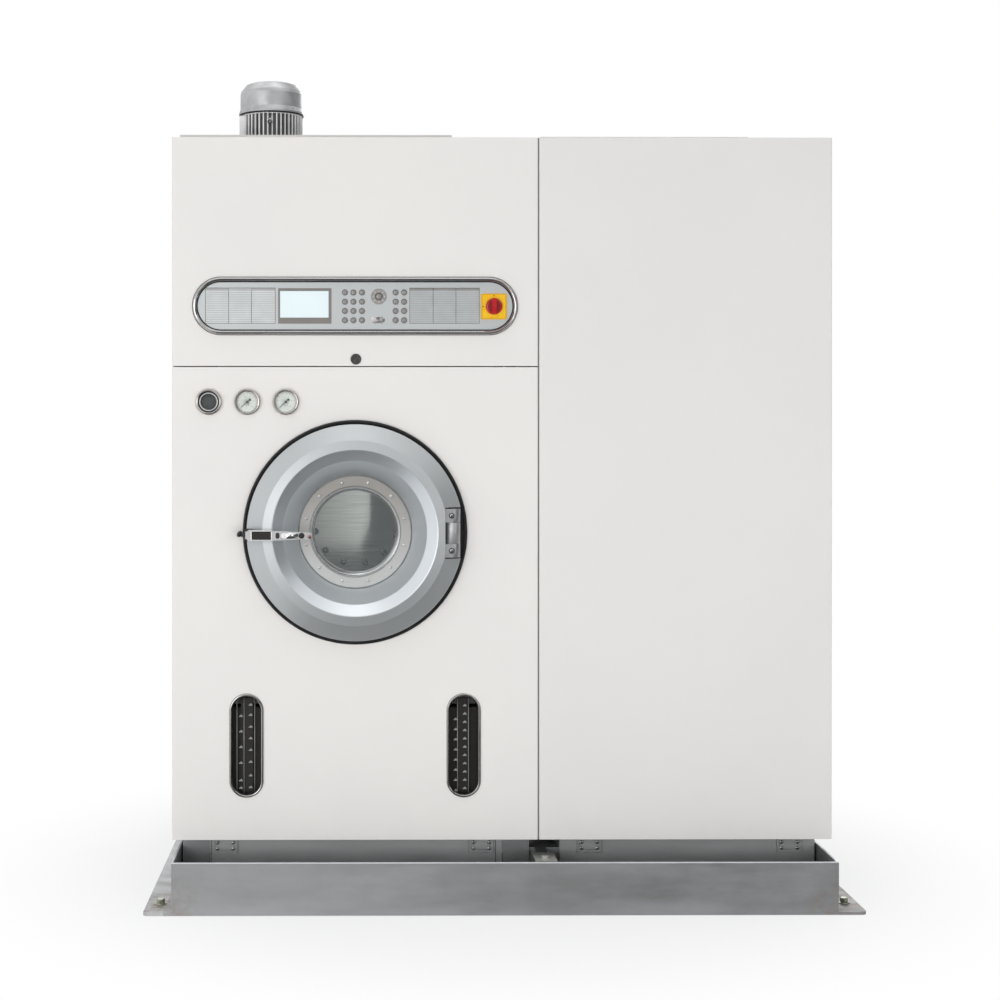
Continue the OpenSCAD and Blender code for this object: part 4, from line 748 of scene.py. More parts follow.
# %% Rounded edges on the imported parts
EDGES = {"drip_tray": 1.6, "display": 0.8, "switch_plate": 0.8, "switch_knob": 0.9, "door_fittings": 0.7,
         "hinge_bracket": 0.6, "plinth_panels": 0.8, "roof_covers": 1.0, "cam_lock": 0.3, "fan_motor": 0.5}
for name, width in EDGES.items():
    weld = nodes[name].modifiers.new("weld", "WELD")
    weld.merge_threshold = 0.00002
    round_edges = nodes[name].modifiers.new("round_edges", "BEVEL")
    round_edges.width = width * MM
    round_edges.segments = 2
    round_edges.limit_method = "ANGLE"
    round_edges.angle_limit = math.radians(50)
    round_edges.harden_normals = True
    round_edges.use_clamp_overlap = True
print("rounded edges on", len(EDGES), "parts")

# %% [markdown]
# ## Control panel: the printed tables
# Two tables are printed on the brushed face, three columns each, under a header strip that stays bare. Print
# is a film of ink, so each table is a thin sheet with its rules standing a few hundredths of a millimetre
# proud. Rules made as real strips stay crisp at any distance, which a pattern in the colour wouldn't.

# %% Printed tables
PRINT_PAPER = plastic("print_paper", (0.61, 0.63, 0.625), 0.45, Specular_IOR_Level=0.4)
PRINT_DIM = plastic("print_dim", (0.445, 0.46, 0.465), 0.45, Specular_IOR_Level=0.4)
PRINT_INK = plastic("print_ink", (0.17, 0.168, 0.16), 0.5)
PRINT_HEADER = plastic("print_header", (0.27, 0.265, 0.255), 0.48)
PRINT_FAINT = plastic("print_faint", (0.40, 0.405, 0.40), 0.48)
PRINT_PALE = plastic("print_pale", (0.47, 0.48, 0.475), 0.45)
ROWS = 18
HEADER = 7.0 * MM


def strips(name, boxes, back, front, material_used, body="upper_panel"):
    """Thin raised rectangles, each given as u0, u1, v0, v1, as one piece."""
    points, faces = [], []
    for u0, u1, v0, v1 in boxes:
        faces += prism_faces(len(points), 4)
        points += [(u, y, v) for y in (back, front) for u, v in rectangle(u0, u1, v0, v1)]
    return add(solid(name, points, faces, smooth=False), body, material_used)


def printed_table(name, x0, x1, dividers, pale_header, paper):
    z0, z1 = 1.5118, 1.6034
    sheet_front = PANEL_FACE - 0.10 * MM
    ink_front = PANEL_FACE - 0.16 * MM
    strips(name + "_sheet", [(x0, x1, z0, z1)], PANEL_FACE, sheet_front, paper)
    strips(name + "_header", [(x0, x1, z1 - HEADER, z1)], sheet_front, ink_front,
           PRINT_FAINT if pale_header else PRINT_HEADER)
    if pale_header:
        strips(name + "_pale", [(dividers[0], dividers[1], z1 - HEADER + 0.0006, z1 - 0.0006)], ink_front,
               ink_front - 0.04 * MM, PRINT_PALE)
    line = 0.75 * MM
    rules = [(x - line, x + line, z0, z1) for x in (x0, x1, *dividers)]
    rules += [(x0, x1, z - line, z + line) for z in (z0, z1)]
    pitch = (z1 - HEADER - z0) / ROWS
    rules += [(x0, x1, z0 + i * pitch - 0.30 * MM, z0 + i * pitch + 0.30 * MM) for i in range(1, ROWS)]
    strips(name + "_rules", rules, sheet_front, ink_front, PRINT_INK)
    print(name, "has", len(rules), "rules")


printed_table("left_table", -0.7707, -0.5896, (-0.7104, -0.6512), True, PRINT_PAPER)
printed_table("right_table", -0.2409, -0.0601, (-0.1801, -0.1209), False, PRINT_DIM)

# %% [markdown]
# ## Control panel: the screen
# The display is a backlit panel behind a clear window, set into its plastic frame. Backlight is a little
# bluish and falls off towards the corners, so the lit sheet's strength follows the distance from its middle.
# Real light comes out of it, but only faintly, because the studio is bright. What it would show is left bare.

# %% Display screen
screen_low, screen_high, _ = span("display")
SCREEN = (screen_low.x + 4.9 * MM, screen_high.x - 7.3 * MM, screen_low.z + 15.3 * MM,
          screen_high.z - 7.3 * MM)
screen_back = screen_low.y + 0.95 * MM
SCREEN_LIT, lit_shader = material("screen_lit", (0.80, 0.87, 0.88), 0.16, Specular_IOR_Level=0.5,
                                  Coat_Weight=0.3)
middle = ((SCREEN[0] + SCREEN[1]) / 2, screen_low.y, (SCREEN[2] + SCREEN[3]) / 2)
fall = between(SCREEN_LIT, distance_from(SCREEN_LIT, middle, (1, 0, 1)), 0.02, 0.085, 1.0, 0.90)
tone = blend_colour(SCREEN_LIT, fall, (0.58, 0.68, 0.72), (0.74, 0.83, 0.85))
set_links(SCREEN_LIT, lit_shader, Base_Color=tone, Emission_Color=tone)
lit_shader.inputs["Emission Strength"].default_value = 0.06
bump(SCREEN_LIT, lit_shader, noise(SCREEN_LIT, 900, 1.0), 0.03, 0.0002)
screen = slab("display_screen", rectangle(*SCREEN), screen_back, screen_back - 0.35 * MM, 0.1)
add(screen, "upper_panel", SCREEN_LIT)
rim = 1.1 * MM
x0, x1, z0, z1 = SCREEN
strips("display_window_edge", [(x0 - rim, x1 + rim, z1, z1 + rim), (x0 - rim, x1 + rim, z0 - rim, z0),
                               (x0 - rim, x0, z0, z1), (x1, x1 + rim, z0, z1)],
       screen_back + 0.02 * MM, screen_back - 0.5 * MM, PRINT_INK)
print("screen %.0f x %.0f mm" % ((x1 - x0) / MM, (z1 - z0) / MM))

# %% [markdown]
# ## Control panel: keys, switch and lock
# Every key is a crowned metal cap whose edge falls away from the light, so the shade on it changes with the
# radius from each key's own centre. One object-space ring pattern can't serve twenty keys at different places,
# so each key gets a small dark ring of its own, seated on its shoulder: painted shade.

# %% Painted shade rings round the keys
KEY_SHADE_RING = plastic("key_painted_shade", (0.20, 0.185, 0.175), 0.36)


def collar(name, body, outer, inner, proud, height, material_used=KEY_SHADE_RING):
    low, high, mid = span(name)
    centre = Vector((mid.x, low.y, mid.z))
    profile = [(inner, proud - height), (inner + 0.3, proud), ((inner + outer) / 2, proud + 0.25),
               (outer - 0.3, proud),
               (outer, proud - height)]
    piece = turned(name + "_painted_shade", centre, profile, 32)
    return add(piece, body, material_used)


# The dark ring round each key is painted shade.
for key in KEY_NAMES:
    collar(key, key, 7.75, 5.2, 0.12, 1.2)
collar("cursor_key", "cursor_key", 8.9, 7.2, 0.05, 1.2)
cursor_low, _, cursor_mid = span("cursor_ring")
cursor_front = cursor_low.y
CURSOR_LINE = plastic("cursor_line", (0.52, 0.515, 0.505), 0.4)
points, faces = [], []
for i in range(8):
    angle = 45.0 * i
    bar = [(10.6, -0.75), (19.6, -0.75), (19.6, 0.75), (10.6, 0.75)] if i % 2 else [(13.0, -2.0), (17.4, 0.0),
                                                                                    (13.0, 2.0)]
    c, s = math.cos(math.radians(angle)), math.sin(math.radians(angle))
    faces += prism_faces(len(points), len(bar))
    for depth in (-0.4, 0.14):
        points += [(cursor_mid.x + (r * c - w * s) * MM, cursor_front - depth * MM,
                    cursor_mid.z + (r * s + w * c) * MM)
                   for r, w in bar]
add(solid("cursor_marks", points, faces, smooth=False), "cursor_ring", CURSOR_LINE)
print("painted shade rings on", len(KEY_NAMES) + 1, "keys")

# %% [markdown]
# The main switch has short black marks beside its knob, which tell its two positions apart: one on the left
# for off and one at the top for on. They are moulded marks without words. Beside the key switch a bright
# escutcheon, the oval plate round the keyhole, is pressed from thin sheet with a rolled rim.

# %% Switch marks and key escutcheon
plate_low, plate_high, _ = span("switch_plate")
knob_mid = span("switch_knob")[2]
plate_front = plate_low.y + 1.5 * MM
strips("switch_marks", [(knob_mid.x - 0.0305, knob_mid.x - 0.0265, knob_mid.z - 0.0012, knob_mid.z + 0.0012),
                        (knob_mid.x - 0.0012, knob_mid.x + 0.0012, knob_mid.z + 0.0268, knob_mid.z + 0.0306)],
       plate_front, plate_front - 0.2 * MM, BLACK_STEEL)
lock_mid = span("key_switch")[2]
ESCUTCHEON = chrome("escutcheon_chrome", (0.62, 0.60, 0.585), 0.16, 0.3)
outline_out = round_ended(lock_mid.x - 0.0085, lock_mid.z, 0.0174, 0.0088)
rim_piece = slab("key_escutcheon", outline_out, PANEL_FACE - 0.9 * MM, PANEL_FACE - 1.5 * MM, 0.25)
hole = turned("escutcheon_hole", (lock_mid.x, PANEL_FACE, lock_mid.z),
              [(0.01, -3), (5.6, -3), (5.6, 6), (0.01, 6)], 32)


def cut(piece, *cutters):
    """Takes other solids out of a piece, applies the result and removes the cutters."""
    for cutter in cutters:
        carve = piece.modifiers.new("carve", "BOOLEAN")
        carve.operation = "DIFFERENCE"
        carve.solver = "EXACT"
        carve.object = cutter
    piece.modifiers.update()
    depsgraph = bpy.context.evaluated_depsgraph_get()
    result = bpy.data.meshes.new_from_object(piece.evaluated_get(depsgraph))
    piece.modifiers.clear()
    old = piece.data
    piece.data = result
    bpy.data.meshes.remove(old)
    for cutter in cutters:
        bpy.data.objects.remove(cutter)
    return piece


add(cut(rim_piece, hole), "upper_panel", ESCUTCHEON)
print("escutcheon at", [round(v, 3) for v in lock_mid])


# %% [markdown]
# Round the panel's chrome frame runs a thin black ring on both sides, which draws the dark line that sets the
# chrome off: painted shade. The yellow plate of the switch is moulded with a raised rim, which keeps a padlock
# bar from slipping; its darker yellow is painted shade along the plate's edges.

# %% Painted shade lines round the frame and the rim of the switch plate
bezel_low, bezel_high, bezel_mid = span("control_bezel")


def outline_ring(name, outer, inner, back, front, body, finish):
    """A flat ring between two outlines that have the same number of points."""
    count = len(outer)
    points = [(u, y, v) for y in (back, front) for line in (outer, inner) for u, v in line]
    faces = []
    for i in range(count):
        j = (i + 1) % count
        faces += [(2 * count + i, 2 * count + j, 3 * count + j, 3 * count + i),
                  (i, j, 2 * count + j, 2 * count + i),
                  (count + j, count + i, 3 * count + i, 3 * count + j), (j, i, count + i, count + j)]
    return add(solid(name, points, faces, smooth=False), body, finish)


half_u, half_v = (bezel_high.x - bezel_low.x) / 2, (bezel_high.z - bezel_low.z) / 2
# Thin black rings on both sides of the chrome frame are painted shade.
for name, grow, width, front in (("outer_shade_line", 1.1, 1.7, FRONT - 0.9 * MM),
                                 ("inner_shade_line", -11.6, 2.2, PANEL_FACE - 1.2 * MM)):
    outer = round_ended(bezel_mid.x, bezel_mid.z, half_u + grow * MM, half_v + grow * MM, 32)
    inner = round_ended(bezel_mid.x, bezel_mid.z, half_u + (grow - width) * MM, half_v + (grow - width) * MM,
                        32)
    outline_ring(name, outer, inner, front + 0.7 * MM, front, "upper_panel", SEAL_RUBBER)
# The rim's darker yellow is painted shade along the plate's edges.
YELLOW_RIM_SHADE = plastic("yellow_rim_painted_shade", (0.72, 0.40, 0.012), 0.32)
inset = 1.2 * MM
plate_outer = rectangle(plate_low.x + inset, plate_high.x - inset, plate_low.z + inset, plate_high.z - inset)
plate_inner = rectangle(plate_low.x + 3 * inset, plate_high.x - 3 * inset, plate_low.z + 3 * inset,
                        plate_high.z - 3 * inset)
outline_ring("switch_plate_rim", plate_outer, plate_inner, plate_front, plate_low.y - 0.25 * MM,
             "upper_panel", YELLOW_RIM_SHADE)


# %% [markdown]
# ## Main switch: the grip
# The red knob is turned by a bar that stands across it. The two hollows beside the bar lie in its shade, so
# each is a thin flat piece of its own in a darker red: painted shade.

# %% Grip of the main switch
knob_low = span("switch_knob")[0]
HOLLOW_R = 16.8 * MM
RED_SHADE = plastic("red_shade", (0.24, 0.004, 0.006), 0.38)
# Each hollow is a thin darker red piece: painted shade.
for side in (-1, 1):
    arc = [(knob_mid.x + side * HOLLOW_R * math.cos(math.radians(a)),
            knob_mid.z + HOLLOW_R * math.sin(math.radians(a)))
           for a in range(-66, 67, 12)]
    hollow = slab(f"knob_hollow_shade_{side}", arc, knob_low.y + 13.9 * MM, knob_low.y + 13.2 * MM, 0.2)
    add(hollow, "switch_knob", RED_SHADE)

# %% [markdown]
# ## Pressure gauges
# Behind each glass lies a white dial with a faint green cast, a fine printed scale over three quarters of a
# turn, and a few plain numbers. The scale's long and short ticks are cut as strips turned round the centre.
# The numbers are text turned into mesh, about three millimetres tall, as on real gauges of this size.

# %% Gauge dials
DIAL_WHITE = plastic("dial_white", (0.70, 0.735, 0.68), 0.42, Specular_IOR_Level=0.4)
DIAL_INK = plastic("dial_ink", (0.16, 0.13, 0.13), 0.5)
DIAL_RED = plastic("dial_red", (0.50, 0.25, 0.24), 0.5)
LENS = glass("gauge_glass", (0.70, 0.74, 0.73), 0.045)
BRIGHT_SLEEVE = chrome("bright_sleeve", (0.86, 0.865, 0.87), 0.16, 0.26)
GAUGE_Z = 1.308
GAUGE_X = (-0.662, -0.562)
DIAL_FRONT = FRONT - 4.0 * MM
FIRST, LAST = 225.0, -45.0
SWEEP = FIRST - LAST
NUMBER_R = 15.8


def ticks(name, centre, angles, inner, outer, half, material_used):
    """Bars that point away from the centre, one for each angle in degrees."""
    points, faces = [], []
    for angle in angles:
        c, s = math.cos(math.radians(angle)), math.sin(math.radians(angle))
        corners = [(inner, -half), (outer, -half), (outer, half), (inner, half)]
        faces += prism_faces(len(points), 4)
        points += [(centre[0] + (r * c - w * s) * MM, DIAL_FRONT - y * MM, centre[1] + (r * s + w * c) * MM)
                   for y in (0.25, 0.32) for r, w in corners]
    return add(solid(name, points, faces, smooth=False), "machine", material_used)


def arc_strip(name, centre, radius, half, first, last, material_used, steps=60):
    """A thin printed arc."""
    points, faces = [], []
    for i in range(steps + 1):
        a = math.radians(first + (last - first) * i / steps)
        for r, y in ((radius - half, -0.25), (radius + half, -0.25), (radius + half, -0.31),
                     (radius - half, -0.31)):
            points.append((centre[0] + r * MM * math.cos(a), DIAL_FRONT + y * MM,
                           centre[1] + r * MM * math.sin(a)))
    for i in range(steps):
        for k in range(4):
            faces.append((4 * i + k, 4 * i + (k + 1) % 4, 4 * i + 4 + (k + 1) % 4, 4 * i + 4 + k))
    faces += [(0, 1, 2, 3), (4 * steps + 3, 4 * steps + 2, 4 * steps + 1, 4 * steps)]
    return add(solid(name, points, faces, smooth=False), "machine", material_used)


def number(name, text, centre, size, y, material_used):
    """A plain number as flat mesh that faces the viewer."""
    curve = bpy.data.curves.new(name + "_text", "FONT")
    curve.body = text
    curve.size = size * MM
    curve.extrude = 0.03 * MM
    curve.align_x, curve.align_y = "CENTER", "CENTER"
    writer = bpy.data.objects.new(name + "_text", curve)
    bpy.context.collection.objects.link(writer)
    depsgraph = bpy.context.evaluated_depsgraph_get()
    mesh = bpy.data.meshes.new_from_object(writer.evaluated_get(depsgraph))
    mesh.transform(Matrix.Translation((centre[0], y, centre[1])) @ Matrix.Rotation(math.radians(90), 4, "X"))
    bpy.data.objects.remove(writer)
    piece = bpy.data.objects.new(name, mesh)
    bpy.context.collection.objects.link(piece)
    return add(piece, "machine", material_used)


for side, x in zip(("left", "right"), GAUGE_X):
    centre = (x, GAUGE_Z)
    dial = turned(side + "_dial", (x, DIAL_FRONT, GAUGE_Z),
                  [(1.62, 0.02), (1.62, 0.25), (26.6, 0.25), (27.4, 0.1), (27.4, 0.02)], 72)
    add(dial, "machine", DIAL_WHITE)
    ticks(side + "_long_ticks", centre, [FIRST - SWEEP * i / 10 for i in range(11)], 19.2, 23.4, 0.28,
          DIAL_INK)
    ticks(side + "_short_ticks", centre, [FIRST - SWEEP * i / 50 for i in range(51) if i % 5], 21.0, 23.4,
          0.13, DIAL_INK)
    arc_strip(side + "_scale_arc", centre, 23.7, 0.22, FIRST, LAST, DIAL_RED)
    for i in range(0, 11, 2):
        a = math.radians(FIRST - SWEEP * i / 10)
        number(f"{side}_number_{i}", str(i),
               (x + NUMBER_R * MM * math.cos(a), GAUGE_Z + NUMBER_R * MM * math.sin(a)), 4.2,
               DIAL_FRONT - 0.29 * MM, DIAL_INK)
    for k, dx in enumerate((-2.9, 2.9)):
        dot = turned(f"{side}_dial_dot_{k}", (x + dx * MM, DIAL_FRONT, GAUGE_Z - 8.5 * MM),
                     [(0.01, 0.2), (1.1, 0.2), (1.0, 0.5), (0.01, 0.6)], 16)
        add(dot, "machine", DIAL_INK)
    cone = turned(side + "_dial_sleeve", (x, FRONT, GAUGE_Z),
                  [(25.0, 4.3), (27.3, 8.9), (27.55, 8.9), (27.5, 4.3), (25.0, 4.3)], 72)
    add(cone, "machine", BRIGHT_SLEEVE)
    lens = turned(side + "_gauge_glass", (x, FRONT, GAUGE_Z),
                  [(0.01, 9.2), (27.3, 9.2), (27.5, 9.5), (20, 10.1), (10, 10.5), (0.01, 10.6)], 72)
    add(lens, "machine", LENS)
    cap = turned(side + "_needle_cap", (x, FRONT, GAUGE_Z),
                 [(0.01, 8.4), (1.5, 8.3), (2.1, 7.9), (2.1, 7.6), (1.6, 7.5), (1.6, 7.2)], 24)
    add(cap, "machine", BLACK_STEEL)
print("two dials with", 11 + 40, "ticks each")

# %% [markdown]
# ## Sight glass
# The third round fitting is a window into the solvent line. A stepped light ring holds a pane over a woven
# strainer. The weave is two layers of thin wires that cross at right angles and are trimmed to a circle, in
# front of a dark well.

# %% Sight glass with its strainer
SIGHT_X = -0.762
STRAINER = casting("strainer_wire", (0.10, 0.10, 0.095), 0.4, 0.8)
WELL = casting("dark_well", (0.02, 0.021, 0.022), 0.5, 0.0)
well = turned("sight_well", (SIGHT_X, FRONT, GAUGE_Z), [(0.01, 3.05), (21.2, 3.05), (21.2, 3.4), (0.01, 3.4)],
              48)
add(well, "machine", WELL)
WIRE_R = 0.38
wire_points, wire_faces = [], []
for layer in (0, 1):
    y = FRONT - (4.0 + 0.62 * layer) * MM
    for i in range(-9, 10):
        offset = i * 2.15
        half = math.sqrt(max(20.9 ** 2 - offset ** 2, 0))
        wire_faces += prism_faces(len(wire_points), 6)
        for end in (-half, half):
            for k in range(6):
                a = 2 * math.pi * k / 6
                across, deep = offset + WIRE_R * math.cos(a), WIRE_R * math.sin(a)
                u, v = (across, end) if layer else (end, across)
                wire_points.append((SIGHT_X + u * MM, y + deep * MM, GAUGE_Z + v * MM))
add(solid("sight_strainer", wire_points, wire_faces), "machine", STRAINER)
SATIN_RING = casting("satin_ring", (0.62, 0.625, 0.63), 0.36, 0.85, 420)
ring = turned("sight_ring", (SIGHT_X, FRONT, GAUGE_Z),
              [(20.9, 6.0), (20.9, 7.6), (21.5, 8.5), (23.6, 8.7), (24.2, 8.2), (24.2, 7.2)], 72)
add(ring, "machine", SATIN_RING)
gasket = turned("sight_gasket", (SIGHT_X, FRONT, GAUGE_Z),
                [(24.1, 7.4), (24.1, 8.3), (25.0, 8.8), (26.8, 9.6), (27.6, 10.1), (27.6, 9.2)], 72)
add(gasket, "machine", SEAL_RUBBER)
pane = turned("sight_pane", (SIGHT_X, FRONT, GAUGE_Z), [(0.01, 5.4), (20.8, 5.4), (20.8, 6.0), (0.01, 6.2)],
              48)
add(pane, "machine", LENS)
print("strainer of", 2 * 19, "wires")

# %% [markdown]
# ## Drum: the hub plate
# Through the glass one sees the back of the drum, where a thick round plate carries the shaft. A ring of
# dome-headed screws holds it. Its face was ground in straight strokes from side to side, so it reflects the
# room sharply from left to right and smears it up and down. The shader does that with anisotropy along a
# tangent that points up the drum and turns with it. By itself the plate would mirror little but the door's
# opening, as a small bright disc. So a card stands inside the drum for it to mirror, lit on the left and dark on
# the right. Only mirrors see the card, but it does stop light, and so the drum is dark when the door is open.

# %% Hub plate and its screws
DRUM_MID = span("drum")[2]
DRUM_BACK = -0.004


def ground_plate(name, base, rough, stroke):
    """Metal ground in strokes along x: its reflections smear along the tangent, which points up."""
    made, shader = material(name, base, rough, 1.0, Anisotropic=0.92)
    up = wire(made, "ShaderNodeCombineXYZ", {2: 1.0}).outputs[0]
    turned_up = wire(made, "ShaderNodeVectorTransform", {0: up}, vector_type="VECTOR", convert_from="OBJECT",
                     convert_to="WORLD").outputs[0]
    marks = noise(made, 1.0, 3.0, 0.6, stroke)
    cloud = noise(made, 5, 3.0, 0.5, (1, 1, 0.5))
    colour = blend_colour(made, between(made, cloud, 0.3, 0.7, 0, 0.6), base, tuple(0.88 * v for v in base))
    colour = blend_colour(made, between(made, marks, 0.35, 0.65, 0, 1.0), tuple(0.74 * v for v in base),
                          colour)
    set_links(made, shader, Base_Color=colour,
              Roughness=between(made, marks, 0.3, 0.7, rough - 0.04, rough + 0.06),
              Tangent=turned_up)
    bump(made, shader, marks, 0.05, 0.0003)
    return made


HUB_METAL = ground_plate("ground_hub", (0.74, 0.775, 0.74), 0.11, (7, 7, 260))
hub = turned("hub_plate", (DRUM_MID.x, DRUM_BACK, DRUM_MID.z),
             [(0.01, 3.2), (12, 3.2), (158, 3.2), (161.5, 3.2), (163.6, 2.6), (164.6, 1.2), (164.6, 0.05)],
             120)
add(hub, "drum", HUB_METAL)
SCREW_STEEL = casting("screw_steel", (0.46, 0.465, 0.46), 0.28, 0.95, 420, 0.8)
HUB_SCREW = casting("dark_screw", (0.55, 0.55, 0.54), 0.16, 1.0, 420, 0.6)


def repeated(name, places, y, profile, steps):
    """The same turned shape, facing the viewer, at several (x, z) places in one mesh."""
    points, faces = [], []
    for x, z in places:
        new_points, new_faces = lathe_points([(r * MM, h * MM) for r, h in profile], steps)
        faces += [tuple(i + len(points) for i in face) for face in new_faces]
        points += [Vector((x, y, z)) + p for p in new_points]
    return solid(name, points, faces)


def circle_places(centre, radius, first, count=12):
    """(x, z) places on a circle, the first one at an angle in degrees."""
    turns = [math.radians(first + 360 / count * i) for i in range(count)]
    return [(centre.x + radius * math.cos(a), centre.z + radius * math.sin(a)) for a in turns]


def dome_screws(name, places, y, radius, height, body, finish=None, socket=0.0):
    """Round heads that face the viewer, all in one mesh; a hexagon socket is sunk into each where asked."""
    dome = [(0.35, 0.97), (0.62, 0.82), (0.85, 0.5), (0.97, 0.2)]
    profile = [(0.01, height), *((r * radius, h * height) for r, h in dome), (radius, -0.3)]
    piece = add(repeated(name, places, y, profile, 20), body, finish or SCREW_STEEL)
    if socket:
        points, faces = [], []
        for x, z in places:
            faces += prism_faces(len(points), 6)
            for depth in (height * 0.2, height + 0.15):
                for k in range(6):
                    a = math.radians(60 * k + 15)
                    points.append((x + socket * MM * math.cos(a), y - depth * MM,
                                   z + socket * MM * math.sin(a)))
        add(solid(name + "_sockets", points, faces, smooth=False), body, BLACK_STEEL)
    return piece


hub_front = DRUM_BACK - 3.2 * MM
ring_places = circle_places(DRUM_MID, 0.120, 13)
dome_screws("hub_screws", ring_places, hub_front, 6.6, 4.2, "drum", HUB_SCREW)
washers = repeated("hub_washers", ring_places, hub_front, [(6.4, 0.9), (9.6, 0.9), (10.0, 0.5), (10.0, -0.1)],
                   24)
add(washers, "drum", STEEL)


CARD_Y = -0.455
CARD_LEFT, CARD_SPLIT, CARD_RIGHT = -0.60, -0.3385, -0.17
CARD_LOW, CARD_HIGH, CARD_STEP = 0.70, 1.13, 0.945
CARD_NOTCH = ((-0.372, 0.868), (CARD_LEFT, 0.878))
card_paint = bpy.data.materials.new("card")
card_paint.use_nodes = True
card_paint.node_tree.nodes.clear()
bright = between(card_paint, coordinate(card_paint, "X"), -0.54, -0.37, 0.24, 0.60)
glow = wire(card_paint, "ShaderNodeEmission", {"Strength": bright})
wire(card_paint, "ShaderNodeOutputMaterial", {"Surface": glow.outputs[0]})
step = [(CARD_LEFT, CARD_STEP), (CARD_SPLIT, CARD_STEP)]
CARDS = {
    "card_lit": (card_paint, [(CARD_LEFT, CARD_HIGH), (CARD_SPLIT, CARD_HIGH), *step[::-1]]),
    "card_low": (card_paint, [*step, *CARD_NOTCH]),
    "card_shade": (flag_cloth, rectangle(CARD_SPLIT, CARD_RIGHT, CARD_LOW, CARD_HIGH)),
    "card_under": (flag_cloth, [(CARD_LEFT, CARD_LOW), (CARD_SPLIT, CARD_LOW), step[1], *CARD_NOTCH]),
}
for name, (finish, outline) in CARDS.items():
    for_mirrors(plane(name, [(x, CARD_Y, z) for x, z in outline]), finish, shadow=True)
print("hub plate with", len(ring_places), "screws")

# %% [markdown]
# ## Door: lip, sleeve and hinge screws
# The glass sits in a thin steel lip under its clamp ring. Behind it a sleeve leads into the drum. Its bright
# crescent at the lower right is a painted reflection: a mask by the distance from that spot darkens the sleeve
# everywhere else. Round heads hold the clamp ring, and cap screws with hexagon sockets hold the hinge blocks.

# %% Glass lip, sleeve and hinge screws
ring_low = span("clamp_ring")[0]
glass_high = span("door_glass")[1]
GLASS_R = 117.0
lip = turned("glass_lip", (DOOR.x, ring_low.y + 2.6 * MM, DOOR.z),
             [(GLASS_R - 1.6, -1.4), (GLASS_R - 1.9, 0.2), (GLASS_R - 1.2, 1.2), (GLASS_R - 0.5, 1.0),
              (GLASS_R - 0.4, -1.4)], 120)
LIP_STEEL = chrome("lip_steel", (0.72, 0.72, 0.70), 0.18, 0.3)
add(lip, "door", LIP_STEEL)
SLEEVE = chrome("sleeve_painted_reflection", (0.80, 0.81, 0.82), 0.10, 0.2)
# The sleeve's bright crescent at the lower right is a painted reflection; elsewhere it is darkened.
PAINTED_REFLECTION_SPOT = (DOOR.x + 0.067, DOOR.y, DOOR.z - 0.090)
off_painted_reflection = between(SLEEVE, distance_from(SLEEVE, PAINTED_REFLECTION_SPOT, (1, 0, 1)), 0.055, 0.105, 0.0, 0.85)
overlay(SLEEVE, off_painted_reflection, (0.16, 0.155, 0.145))
sleeve = turned("glass_sleeve", (DOOR.x, glass_high.y + 0.3 * MM, DOOR.z),
                [(GLASS_R - 1.9, 0), (GLASS_R - 4.2, -1.3), (GLASS_R - 7.0, -3.4), (GLASS_R - 9.6, -6.2),
                 (GLASS_R - 10.6, -9),
                 (GLASS_R - 10.6, -34), (GLASS_R - 9.0, -34), (GLASS_R - 0.8, -3), (GLASS_R - 0.8, 0),
                 (GLASS_R - 1.9, 0)],
                120)
add(sleeve, "door", SLEEVE)
CLAMP_SCREW = casting("clamp_screw", (0.66, 0.66, 0.64), 0.3, 0.7, 420, 0.8)
dome_screws("clamp_screws", circle_places(DOOR, 0.1315, 15), ring_low.y + 0.9 * MM, 4.4, 1.5, "door",
            CLAMP_SCREW)
HINGE_X = -0.1305
BLOCK_FRONT = FRONT - 57.0 * MM
fit_low, fit_high, _ = span("door_fittings")
hinge_places = [(HINGE_X - 0.004, 0.970 + side * (0.0275 + 0.0175)) for side in (-1, 1)]
seats = repeated("hinge_screw_seats", hinge_places, BLOCK_FRONT, [(5.6, 0.3), (7.4, 0.3), (7.4, -0.6)], 24)
add(seats, "door", BLACK_STEEL)
dome_screws("hinge_screws", hinge_places, BLOCK_FRONT - 0.4 * MM, 5.2, 2.4, "door",
            SCREW_STEEL, 2.4)
print("door fittings y %.4f to %.4f, ring front %.4f, glass back %.4f" % (fit_low.y, fit_high.y, ring_low.y,
                                                                          glass_high.y))

# %% [markdown]
# ## Latch
# The lever is a flat chromed blade over a black arm. Its left half has a long sunk panel whose filling is a
# near-black chrome, a painted dark reflection, inside a rim of brighter chrome, a painted highlight. Then comes
# an oval hole, and a black rubber buffer stands near the free end. The blade's outer half is crowned, so it
# mirrors the bright room above and the dark floor below as two bands, and it too is in the brighter chrome. The
# arm and the buffer belong to the same part as the blade. Two masks paint them black, one by the depth behind
# the blade and one by the distance from the buffer's axis.

# %% Latch finish and details
LATCH_X = -0.6585
LATCH_Z = 0.966
LATCH = chrome("latch_chrome", (0.56, 0.56, 0.565), 0.10, 0.22)
behind = between(LATCH, coordinate(LATCH, "Y"), FRONT - 0.0770, FRONT - 0.0766, 0.0, 1.0)
buffer = between(LATCH, distance_from(LATCH, (LATCH_X + 0.140, 0, LATCH_Z), (1, 0, 1)), 0.0078, 0.0074, 0.0,
                 1.0)
behind = combine(LATCH, "MAXIMUM", behind, buffer)
latch_shader = overlay(LATCH, behind, (0.014, 0.014, 0.015))
set_links(LATCH, latch_shader, Metallic=between(LATCH, behind, 0.0, 1.0, 1.0, 0.05))
dress(LATCH, "latch_handle")
latch_low, latch_high, _ = span("latch_handle")
BLADE_FRONT = FRONT - 0.096
